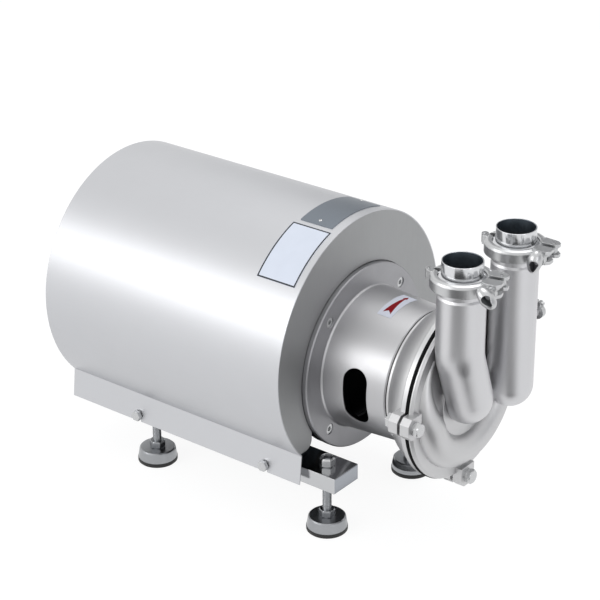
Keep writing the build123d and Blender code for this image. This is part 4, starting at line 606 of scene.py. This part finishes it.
def wrapped_plate(name, x_mm, turns, centre_z, radii, thickness, corner, material, lift=0.0):
    """A thin plate wrapped on a drum, or on a cone between two radii: X counts from the flange, the
    turn counts up from -Y in degrees, and the UV is in metres."""
    x_low, x_high = x_mm[0] / 1000, x_mm[1] / 1000
    middle_radius = (radii[0] + radii[1]) / 2
    low_v, high_v = (math.radians(turn) * middle_radius for turn in turns)
    span = high_v - low_v
    rows = [corner * (1 - math.cos(math.pi / 2 * k / PLATE_CORNER_STEPS))
            for k in range(PLATE_CORNER_STEPS)]
    rows += [corner + (span - 2 * corner) * k / PLATE_STEPS_ROUND
             for k in range(PLATE_STEPS_ROUND + 1)]
    rows += [span - v for v in reversed(rows[:PLATE_CORNER_STEPS])]
    shell = bmesh.new()
    uv_layer = shell.loops.layers.uv.new("plate")
    places = {}
    sides = []
    for height in (lift, lift + thickness):
        grid = []
        for v in rows:
            reach = min(v, span - v, corner)
            inset = corner - math.sqrt(max(corner ** 2 - (corner - reach) ** 2, 0.0))
            turn = (low_v + v) / middle_radius
            line = []
            for k in range(PLATE_STEPS_ALONG + 1):
                x = x_low + inset + (x_high - x_low - 2 * inset) * k / PLATE_STEPS_ALONG
                share = (x - x_low) / (x_high - x_low)
                radius = radii[0] + (radii[1] - radii[0]) * share + height
                vert = shell.verts.new((
                    flange_x + x, -radius * math.cos(turn), centre_z + radius * math.sin(turn)))
                places[vert] = (x - x_low, v)
                line.append(vert)
            grid.append(line)
        sides.append(grid)
    under, over = sides
    for a in range(len(rows) - 1):
        b = a + 1
        for k in range(PLATE_STEPS_ALONG):
            shell.faces.new((over[a][k], over[a][k + 1], over[b][k + 1], over[b][k]))
            shell.faces.new((under[a][k], under[b][k], under[b][k + 1], under[a][k + 1]))
        for k in (0, PLATE_STEPS_ALONG):
            shell.faces.new((under[a][k], under[b][k], over[b][k], over[a][k]))
    for a in (0, len(rows) - 1):
        for k in range(PLATE_STEPS_ALONG):
            shell.faces.new((under[a][k], under[a][k + 1], over[a][k + 1], over[a][k]))
    for face in shell.faces:
        for loop in face.loops:
            loop[uv_layer].uv = places[loop.vert]
    return finished(name, shell, material)


drum_radius = DRUM_RADIUS_MM / 1000
drum_z = shaft_z + DRUM_ABOVE_SHAFT_MM / 1000
dull_anodised_plate = steel(
    "dull_anodised_plate", "#7f868e", roughness=0.42, grain_mm=0.35, stretch=(1, 30, 30),
    depth_mm=0.004, mottle=0.08, round_mm=0.2)
nameplate_mesh = wrapped_plate(
    "nameplate", NAMEPLATE_X_MM, NAMEPLATE_TURNS, drum_z, (drum_radius, drum_radius),
    thickness=0.0008, corner=0.0012, material=dull_anodised_plate)
placed_piece("nameplate", nameplate_mesh, "base")

# The blank notice: white vinyl film with a printed dark border, stuck on the drum below the
# nameplate. Its words are left out.
NOTICE_X_MM = (-76.0, -16.0)
NOTICE_TURNS = (42.5, 72.3)
BORDER_EDGE_MM = 0.3
BORDER_WIDTH_MM = 2.1


def bordered_film(name, ground, ink, width, height):
    """Printed vinyl: a paper-white ground, one dark line along the border and a soft ripple."""
    film = bpy.data.materials.new(name)
    tree, shader, place = opened(film)
    flat = add_node(tree, "ShaderNodeSeparateXYZ", {0: place["UV"]}).outputs
    gap = reckon(tree, "MINIMUM", *(
        reckon(tree, "MINIMUM", flat[axis], reckon(tree, "SUBTRACT", size, flat[axis]))
        for axis, size in (("X", width), ("Y", height))))
    inside = reckon(tree, "GREATER_THAN", gap, BORDER_EDGE_MM / 1000)
    before = reckon(tree, "LESS_THAN", gap, (BORDER_EDGE_MM + BORDER_WIDTH_MM) / 1000)
    fade = noise(tree, place["Object"], per_metre=60.0, detail=3.0)
    paper = blend(tree, fade, shaded(ground, share=0.93), colour(ground))
    line = reckon(tree, "MULTIPLY", inside, before)
    feed(tree, shader, {
        "Base Color": blend(tree, line, paper, colour(ink)),
        "Normal": raised(tree, fade, strength=0.2, depth_mm=0.1), "Roughness": 0.38})
    return film


notice_width = (NOTICE_X_MM[1] - NOTICE_X_MM[0]) / 1000
notice_height = math.radians(NOTICE_TURNS[1] - NOTICE_TURNS[0]) * drum_radius
notice_mesh = wrapped_plate(
    "blank_notice", NOTICE_X_MM, NOTICE_TURNS, drum_z, (drum_radius, drum_radius),
    thickness=0.0002, corner=0.0005, material=bordered_film(
        "white_notice_vinyl", "#d2d8e3", "#1c2027", notice_width, notice_height))
placed_piece("blank_notice", notice_mesh, "base")

# The rivets: two domed aluminium heads that hold the nameplate, one low and one high on it, each
# standing square on the drum.
RIVET_PLACES = ((-44.5, 77.3), (-48.4, 108.2))
RIVET_RADIUS_MM = 2.4
RIVET_CROWN = 0.55
RIVET_SEAT_MM = 0.7


def dome_tree(name):
    """Instances one domed head on each given point, turned to the point's own direction."""
    group, given = geometry_tree(name, {"Radius": "Float", "Crown": "Float", "Steel": "Material"})
    ball = add_node(group, "GeometryNodeMeshUVSphere", {
        "Segments": 24, "Rings": 12, "Radius": given["Radius"]})
    flat = add_node(group, "ShaderNodeCombineXYZ", {"X": 1.0, "Y": 1.0, "Z": given["Crown"]})
    head = add_node(group, "GeometryNodeTransform", {
        "Geometry": ball.outputs[0], "Scale": flat.outputs[0]})
    facing = add_node(group, "GeometryNodeInputNormal")
    turn = add_node(group, "FunctionNodeAlignRotationToVector", {
        "Vector": facing.outputs[0]}, axis="Z")
    many = add_node(group, "GeometryNodeInstanceOnPoints", {
        "Points": given["Geometry"], "Instance": head.outputs[0], "Rotation": turn.outputs[0]})
    whole = add_node(group, "GeometryNodeRealizeInstances", {"Geometry": many.outputs[0]})
    shiny = add_node(group, "GeometryNodeSetShadeSmooth", {"Geometry": whole.outputs[0]})
    metal = add_node(group, "GeometryNodeSetMaterial", {
        "Geometry": shiny.outputs[0], "Material": given["Steel"]})
    add_node(group, "NodeGroupOutput", {"Geometry": metal.outputs[0]})
    return group


rivet_steel = steel(
    "domed_aluminium_rivet", "#d3d4d4", roughness=0.2, grain_mm=0.4, depth_mm=0.004, mottle=0.08)
rivet_heads = []
for x_mm, degrees in RIVET_PLACES:
    turn = math.radians(degrees)
    out = Vector((0, -math.cos(turn), math.sin(turn)))
    seat = Vector((flange_x + x_mm / 1000, 0, drum_z)) + out * (drum_radius + RIVET_SEAT_MM / 1000)
    rivet_heads.append((seat, out))
rivet_mesh = grown("nameplate_rivets", dome_tree("domed_rivet_heads"), {
    "Radius": RIVET_RADIUS_MM / 1000, "Crown": RIVET_CROWN, "Steel": rivet_steel}, rivet_heads)
placed_piece("nameplate_rivets", rivet_mesh, "base")

# The lantern: a stainless casting turned outside on a lathe, so fine rings run round it, with a
# window at each side that shows the raw casting inside, painted near black as painted shade.
LANTERN_ROOT_MM = 94.7
LANTERN_TAPER_MM = 5.2
LANTERN_LENGTH_MM = 95.0
LANTERN_SKIN_MM = 1.6
FLANGE_FACE_MM = 0.5
RAW_CAST_ROUGHNESS = 0.75
turned_lantern_steel = steel(
    "turned_lantern_steel", "#c0c0c2", roughness=0.42, grain_mm=0.45, stretch=(1, 40, 40),
    depth_mm=0.004, mottle=0.05, round_mm=1.0)
tree, shader, place = opened(turned_lantern_steel)
turned_tone, turned_shine = (
    shader.inputs[name].links[0].from_socket for name in ("Base Color", "Roughness"))
from_flange = add_node(tree, "ShaderNodeMapping", {
    "Vector": place["Object"], "Location": (-flange_x, 0, -shaft_z)}).outputs[0]
along = add_node(tree, "ShaderNodeSeparateXYZ", {0: from_flange}).outputs["X"]
across = add_node(tree, "ShaderNodeVectorMath", {
    0: from_flange, 1: (0, 1, 1)}, operation="MULTIPLY")
reach = add_node(tree, "ShaderNodeVectorMath", {
    0: across.outputs[0]}, operation="LENGTH").outputs["Value"]
skin = reckon(
    tree, "MULTIPLY_ADD", along, -LANTERN_TAPER_MM / LANTERN_LENGTH_MM,
    (LANTERN_ROOT_MM - LANTERN_SKIN_MM) / 1000)
barrel = reckon(tree, "GREATER_THAN", along, FLANGE_FACE_MM / 1000)
# The lantern's inside is painted near black: painted shade seen through the windows.
shaded_raw_inside = reckon(tree, "MULTIPLY", reckon(tree, "LESS_THAN", reach, skin), barrel)
# The flange gets a darker tone than the turned barrel, which paints the shade on it.
outside = blend(tree, barrel, colour("#a2a2a5"), turned_tone)
feed(tree, shader, {
    "Base Color": blend(tree, shaded_raw_inside, outside, colour("#0c0c0e")),
    "Roughness": blend(tree, shaded_raw_inside, turned_shine, RAW_CAST_ROUGHNESS, kind="FLOAT")})
dress(turned_lantern_steel, "lantern")
dress(bright_bolt_steel, "adapter_bolts")

# The turning arrow: a small printed film on the lantern's top, with one plain red arrow up it,
# broad and notched at its tail.
ARROW_X_MM = (42.0, 63.0)
ARROW_TURNS = (68.0, 105.0)
ARROW_TAIL_HALF = 0.30
ARROW_HALVES = ((0.10, 0.28), (0.45, 0.16), (0.76, 0.07), (0.78, 0.16))
ARROW_TIP_AT = 0.93
ARROW_NOTCH = 0.19
ARROW_NOTCH_SLOPE = -0.32


def arrow_film(name, ground, ink, width, height):
    """A printed film with an arrow, drawn as a half width at each share of the film's height."""
    film = bpy.data.materials.new(name)
    tree, shader, place = opened(film)
    unit = add_node(tree, "ShaderNodeMapping", {
        "Vector": place["UV"], "Location": (-0.5, 0.0, 0.0),
        "Scale": (1 / width, 1 / height, 1.0)})
    flat = add_node(tree, "ShaderNodeSeparateXYZ", {0: unit.outputs[0]}).outputs
    off = reckon(tree, "ABSOLUTE", flat["X"])
    half = add_node(tree, "ShaderNodeFloatCurve", {"Value": flat["Y"]})
    line = half.mapping.curves[0]
    for at, half_width in ARROW_HALVES:
        line.points.new(at, half_width)
    line.points[0].location = (0.0, ARROW_TAIL_HALF)
    line.points[-1].location = (ARROW_TIP_AT, 0.0)
    for point in line.points:
        point.handle_type = "VECTOR"
    half.mapping.update()
    body = reckon(tree, "LESS_THAN", off, half.outputs[0])
    tail = reckon(tree, "MULTIPLY_ADD", off, ARROW_NOTCH_SLOPE, ARROW_NOTCH)
    above = reckon(tree, "GREATER_THAN", flat["Y"], tail)
    inked = reckon(tree, "MULTIPLY", body, above)
    grain = noise(tree, place["Object"], per_metre=300.0, detail=2.0)
    feed(tree, shader, {
        "Base Color": blend(tree, inked, colour(ground), colour(ink)),
        "Normal": raised(tree, grain, strength=0.15, depth_mm=0.05),
        "Roughness": 0.45, "Specular IOR Level": 0.12})
    return film


def lantern_radius(x_mm):
    """The lantern's outside radius at a distance in front of its flange."""
    return (LANTERN_ROOT_MM - LANTERN_TAPER_MM * x_mm / LANTERN_LENGTH_MM) / 1000


arrow_radii = (lantern_radius(ARROW_X_MM[0]), lantern_radius(ARROW_X_MM[1]))
arrow_width = (ARROW_X_MM[1] - ARROW_X_MM[0]) / 1000
arrow_height = math.radians(ARROW_TURNS[1] - ARROW_TURNS[0]) * sum(arrow_radii) / 2
arrow_mesh = wrapped_plate(
    "turning_arrow", ARROW_X_MM, ARROW_TURNS, shaft_z, arrow_radii,
    thickness=0.0002, corner=0.0008, material=arrow_film(
        "printed_arrow_vinyl", "#cdd0da", "#7e0010", arrow_width, arrow_height), lift=0.00005)
placed_piece("turning_arrow", arrow_mesh, "base")

# The pump head: back cover and casing are investment castings, blasted with glass bead and then
# satin brushed, which leaves a soft even sheen with a slight cloud and rounded, brighter edges.
satin_cast_steel = steel(
    "satin_cast_stainless", "#cececf", roughness=0.46, grain_mm=0.5, depth_mm=0.010, mottle=0.06,
    round_mm=0.5)
dress(satin_cast_steel, "back_cover", "front_casing", "impeller")
dress(bright_bolt_steel, "casing_bolts", "impeller_nut")

# The casing gasket: a black rubber ring pressed between the two rims until it bulges past them and
# folds a little over their edges, so it shows as one even black line round the pump head.
GASKET_BULGE_MM = 118.9
GASKET_RIM_MM = 118.1
GASKET_INNER_MM = 110.0
GASKET_FOLD_MM = 0.7
gasket_low, gasket_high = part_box("casing_gasket")
width_mm = (gasket_high.x - gasket_low.x) * 1000
gasket_outline = [(radius / 1000, height / 1000) for radius, height in (
    (GASKET_INNER_MM, 0.0), (GASKET_RIM_MM, 0.0), (GASKET_RIM_MM, -GASKET_FOLD_MM),
    (GASKET_BULGE_MM, GASKET_FOLD_MM / 2), (GASKET_BULGE_MM, width_mm - GASKET_FOLD_MM / 2),
    (GASKET_RIM_MM, width_mm + GASKET_FOLD_MM), (GASKET_RIM_MM, width_mm),
    (GASKET_INNER_MM, width_mm))]
gasket_ring = bmesh.new()
lathe(gasket_ring, gasket_outline, (0.0, 0.0), steps=192, bored=True)
gasket_ring.transform(
    Matrix.Translation((gasket_low.x, 0, shaft_z)) @ Matrix.Rotation(math.pi / 2, 4, "Y"))
gasket_mesh = finished(
    "pressed_gasket", gasket_ring,
    rubber("pressed_black_rubber", "#0a0a0b", roughness=0.7, shine=0.1))
smooth(gasket_mesh, sharp_degrees=50)
pressed_gasket = placed_piece("pressed_gasket", gasket_mesh, "base")
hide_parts("casing_gasket")

# The shaft seal: a carbon seat and a carbon ring, lapped flat, so they have a smooth dark shine.
# The ring turns with the shaft behind the impeller.
dress(rubber("lapped_seal_carbon", "#232426", roughness=0.25), "seal_seat", "seal_ring")

# The two pipes and the side port: drawn stainless tube, bent, welded and satin brushed. The side
# port's cap has the same finish.
satin_tube_steel = steel(
    "satin_tube_stainless", "#d3d3d5", roughness=0.40, grain_mm=0.5, depth_mm=0.010, mottle=0.05,
    round_mm=0.6)
dress(satin_tube_steel, "suction_pipe", "discharge_pipe", "side_port_cap")

# The ferrules: weld ends turned from bar, mirror polished outside and honed inside, so the outside
# shows the studio in sharp upright bands and the bore a soft sheen, darkened as painted shade.
FERRULE_RIM_MM = 32.0
FERRULE_EDGE_MM = 2.0
FERRULE_TUBE_MM = 25.4
FERRULE_BORE_MM = 23.9
FERRULE_SLOPE_MM = 2.4
RIM_CHAMFER_MM = 0.3
MOUTH_ROUND_MM = 0.5
MOUTH_STEPS = 4
BORE_SKIN_MM = 0.1
mirror_ferrule_steel = steel(
    "mirror_polished_stainless", "#d6d7d9", roughness=0.15, grain_mm=0.6, stretch=(30, 30, 1),
    depth_mm=0.001, mottle=0.02)
# The bore's darker tone is painted shade for the inside of the tube.
honed_shaded_bore_steel = steel(
    "honed_shaded_bore_stainless", "#8a949d", roughness=0.32, grain_mm=0.4, stretch=(30, 30, 1),
    depth_mm=0.004, mottle=0.10)
rim, tube, bore = FERRULE_RIM_MM / 1000, FERRULE_TUBE_MM / 1000, FERRULE_BORE_MM / 1000
chamfer = RIM_CHAMFER_MM / 1000
edge = MOUTH_ROUND_MM / 1000
for port in ("suction", "discharge"):
    low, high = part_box(port + "_ferrule")
    centre = axis_of((low, high))
    face, mouth = low.z, high.z
    outline = [
        (bore, face), (rim - chamfer, face), (rim, face + chamfer),
        (rim, face + FERRULE_EDGE_MM / 1000),
        (tube, face + (FERRULE_EDGE_MM + FERRULE_SLOPE_MM) / 1000)]
    for round_at, quarter in ((tube - edge, 0), (bore + edge, 1)):
        for k in range(MOUTH_STEPS + 1):
            turn = math.pi / 2 * (quarter + k / MOUTH_STEPS)
            outline.append((
                round_at + edge * math.cos(turn), mouth - edge + edge * math.sin(turn)))
    ring = bmesh.new()
    lathe(ring, outline, centre, steps=160, bored=True)
    ring_mesh = finished(
        "polished_ferrule_" + port, ring, mirror_ferrule_steel, honed_shaded_bore_steel)
    for part in ring_mesh.polygons:
        reach = math.hypot(part.center.x - centre[0], part.center.y - centre[1])
        part.material_index = 1 if reach < bore + BORE_SKIN_MM / 1000 else 0
    smooth(ring_mesh, sharp_degrees=35)
    ferrule = placed_piece("polished_ferrule_" + port, ring_mesh, "base")
    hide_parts(port + "_ferrule")
dress(moulded_black_rubber, "port_gaskets")

# The hinged clamps: investment cast, tumbled in stone media, so they are bright with soft edges
# and a faint ripple. Swing bolt and wing nut are cast the same way.
tumbled_clamp_steel = steel(
    "tumbled_clamp_stainless", "#c6c7c8", roughness=0.32, grain_mm=0.9, depth_mm=0.012, mottle=0.08,
    round_mm=0.7)
for port in ("suction", "discharge"):
    dress(tumbled_clamp_steel, *(
        port + piece for piece in ("_clamp_fixed_half", "_clamp_moving_half", "_clamp_bolt")))
dress(tumbled_clamp_steel, "side_port_clamp")
dress(bright_bolt_steel, "clamp_pins")

# The clamps' outer walls: each half is cast with an upright band round it, 12 mm tall, that hangs
# a little below the ferrule rims and stops at the lugs and at the hinge.
BAND_RADIUS_MM = 39.1
BAND_INNER_MM = 34.0
BAND_TOP_MM = 1.6
BAND_TOP_SLOPE_MM = 2.0
BAND_BOTTOM_MM = -10.2
BAND_INNER_HEIGHT_MM = 3.0
BAND_EDGE_MM = 0.6
BAND_LUG_TURN = math.radians(16.0)
BAND_HINGE_TURN = math.radians(165.0)
BAND_STEPS = 72
BAND_OUTLINE_MM = (
    (BAND_INNER_MM + BAND_TOP_SLOPE_MM, BAND_TOP_MM), (BAND_RADIUS_MM, BAND_TOP_MM),
    (BAND_RADIUS_MM, BAND_BOTTOM_MM + BAND_EDGE_MM),
    (BAND_RADIUS_MM - BAND_EDGE_MM, BAND_BOTTOM_MM), (BAND_INNER_MM, BAND_BOTTOM_MM),
    (BAND_INNER_MM, BAND_BOTTOM_MM + BAND_INNER_HEIGHT_MM))
joints = {joint["name"]: joint for joint in frame["joints"]}
for port in ("suction", "discharge"):
    low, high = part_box(port + "_ferrule")
    centre = (low + high) / 2
    hinge = Vector(joints[port + "_clamp_open"]["pos_m"]) - centre
    lug_side = math.atan2(-hinge.y, -hinge.x)
    for half, body, way in (("fixed", "base", 1), ("moving", port + "_near_half", -1)):
        name = "clamp_band_" + port + "_" + half
        start, end = lug_side + way * BAND_LUG_TURN, lug_side + way * BAND_HINGE_TURN
        rows = []
        for k in range(BAND_STEPS + 1):
            turn = start + (end - start) * k / BAND_STEPS
            rows.append([
                (centre.x + radius / 1000 * math.cos(turn),
                 centre.y + radius / 1000 * math.sin(turn), low.z + height / 1000)
                for radius, height in BAND_OUTLINE_MM])
        band = bmesh.new()
        loft(band, rows)
        mesh = finished(name, band, tumbled_clamp_steel)
        smooth(mesh, sharp_degrees=35)
        placed_piece(name, mesh, body)

# The grip nuts: an oval cast thumb grip on a round hub, with a pear-shaped pocket in its end in
# which the swing bolt's end shows. They are cast and tumbled with the clamps.
HUB_RADIUS_MM = 6.8
HUB_LENGTH_MM = 9.0
HUB_CHAMFER_MM = 0.6
HUB_STEPS = 48
GRIP_CENTRE_MM = 14.0
GRIP_OFFSET_MM = -2.6
GRIP_HALF_MM = (15.3, 9.0, 11.0)
GRIP_RINGS = 24
GRIP_STEPS = 64
GRIP_TURNS = {"suction": -48.0, "discharge": -100.0}
POCKET_FLOOR_MM = 12.5
POCKET_TOOL_TOP_MM = 42.5
POCKET_WIDE_MM = 4.9
POCKET_NARROW_MM = 1.6
POCKET_LENGTH_MM = 8.8
POCKET_STEPS = 24
POCKET_WITHIN = 0.93
# The pocket's walls get a darker tone: painted shade in the recess.
shaded_pocket_steel = steel(
    "shaded_cast_pocket", "#8a8c8f", roughness=0.55, grain_mm=0.5, depth_mm=0.02, mottle=0.15)


def oval_rows(steps, rings, place):
    """Rows of places round ovals of (half length, half thickness, offset across, height)."""
    turns = [2 * math.pi * k / steps for k in range(steps)]
    return [[
        place @ Vector((half_long * math.cos(turn), offset + half_thick * math.sin(turn), height))
        for turn in turns] for half_long, half_thick, offset, height in rings]


def pear_outline(wide, narrow, length, steps):
    """Points round a pear: a wide circle at the origin, a narrow one at length, and tangents."""
    lean = math.asin((wide - narrow) / length)
    points = []
    for k in range(steps + 1):
        turn = math.pi / 2 - lean + (math.pi + 2 * lean) * k / steps
        points.append((wide * math.cos(turn), wide * math.sin(turn)))
    for k in range(steps // 2 + 1):
        turn = -math.pi / 2 + lean + (math.pi - 2 * lean) * k / (steps // 2)
        points.append((length + narrow * math.cos(turn), narrow * math.sin(turn)))
    return points


def loose_solid(name, rows):
    """A solid skinned from rows, to be joined to another or cut from it."""
    solid = bmesh.new()
    loft(solid, rows)
    return linked(name, finished(name, solid))


half_long, half_thick, half_high = GRIP_HALF_MM
grip_rings = []
for k in range(1, GRIP_RINGS):
    tilt = math.pi * (k / GRIP_RINGS - 0.5)
    grip_rings.append((
        half_long * math.cos(tilt), half_thick * math.cos(tilt), GRIP_OFFSET_MM,
        GRIP_CENTRE_MM + half_high * math.sin(tilt)))
hub_end = HUB_RADIUS_MM - HUB_CHAMFER_MM
hub_rings = (
    (hub_end, hub_end, 0.0, 0.0), (HUB_RADIUS_MM, HUB_RADIUS_MM, 0.0, HUB_CHAMFER_MM),
    (HUB_RADIUS_MM, HUB_RADIUS_MM, 0.0, HUB_LENGTH_MM))
pear = pear_outline(POCKET_WIDE_MM, POCKET_NARROW_MM, POCKET_LENGTH_MM, POCKET_STEPS)
for port in ("suction", "discharge"):
    out = Vector(joints[port + "_nut_travel"]["axis"]).normalized()
    pin_place = Vector(joints[port + "_bolt_swing"]["pos_m"])
    nut_verts = nodes[port + "_wing_nut"].data.vertices
    base = min((vert.co - pin_place).dot(out) for vert in nut_verts)
    turn = math.radians(GRIP_TURNS[port])
    level = Vector((-out.y, out.x, 0))
    grip_along = level * math.cos(turn) + Vector((0, 0, 1)) * math.sin(turn)
    facing = Matrix((grip_along, out.cross(grip_along), out)).transposed().to_4x4()
    place = Matrix.Translation(pin_place + out * base) @ facing @ Matrix.Scale(0.001, 4)
    grip = loose_solid("grip_nut_" + port, oval_rows(GRIP_STEPS, grip_rings, place))
    hub = loose_solid("grip_hub_" + port, oval_rows(HUB_STEPS, hub_rings, place))
    pocket = loose_solid("grip_pocket_" + port, [
        [place @ Vector((x, y, height)) for x, y in pear]
        for height in (POCKET_FLOOR_MM, POCKET_TOOL_TOP_MM)])
    for tool, way in ((hub, "UNION"), (pocket, "DIFFERENCE")):
        cut = grip.modifiers.new(tool.name, "BOOLEAN")
        cut.operation = way
        cut.object = tool
        cut.solver = "EXACT"
    depsgraph = bpy.context.evaluated_depsgraph_get()
    nut_mesh = bpy.data.meshes.new_from_object(grip.evaluated_get(depsgraph))
    nut_mesh.name = "oval_grip_nut_" + port
    for tool in (grip, hub, pocket):
        bpy.data.objects.remove(tool)
    nut_mesh.materials.clear()
    nut_mesh.materials.append(tumbled_clamp_steel)
    nut_mesh.materials.append(shaded_pocket_steel)
    unplace = place.inverted()
    # Faces inside the pocket take the darker, painted-shade material.
    for part in nut_mesh.polygons:
        x, y, z = unplace @ part.center
        depth = (x / half_long) ** 2 + ((y - GRIP_OFFSET_MM) / half_thick) ** 2 + (
            (z - GRIP_CENTRE_MM) / half_high) ** 2
        part.material_index = 1 if depth < POCKET_WITHIN and z > HUB_LENGTH_MM else 0
    smooth(nut_mesh, sharp_degrees=40)
    grip_nut = placed_piece("oval_grip_nut_" + port, nut_mesh, port + "_nut")
    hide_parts(port + "_wing_nut")
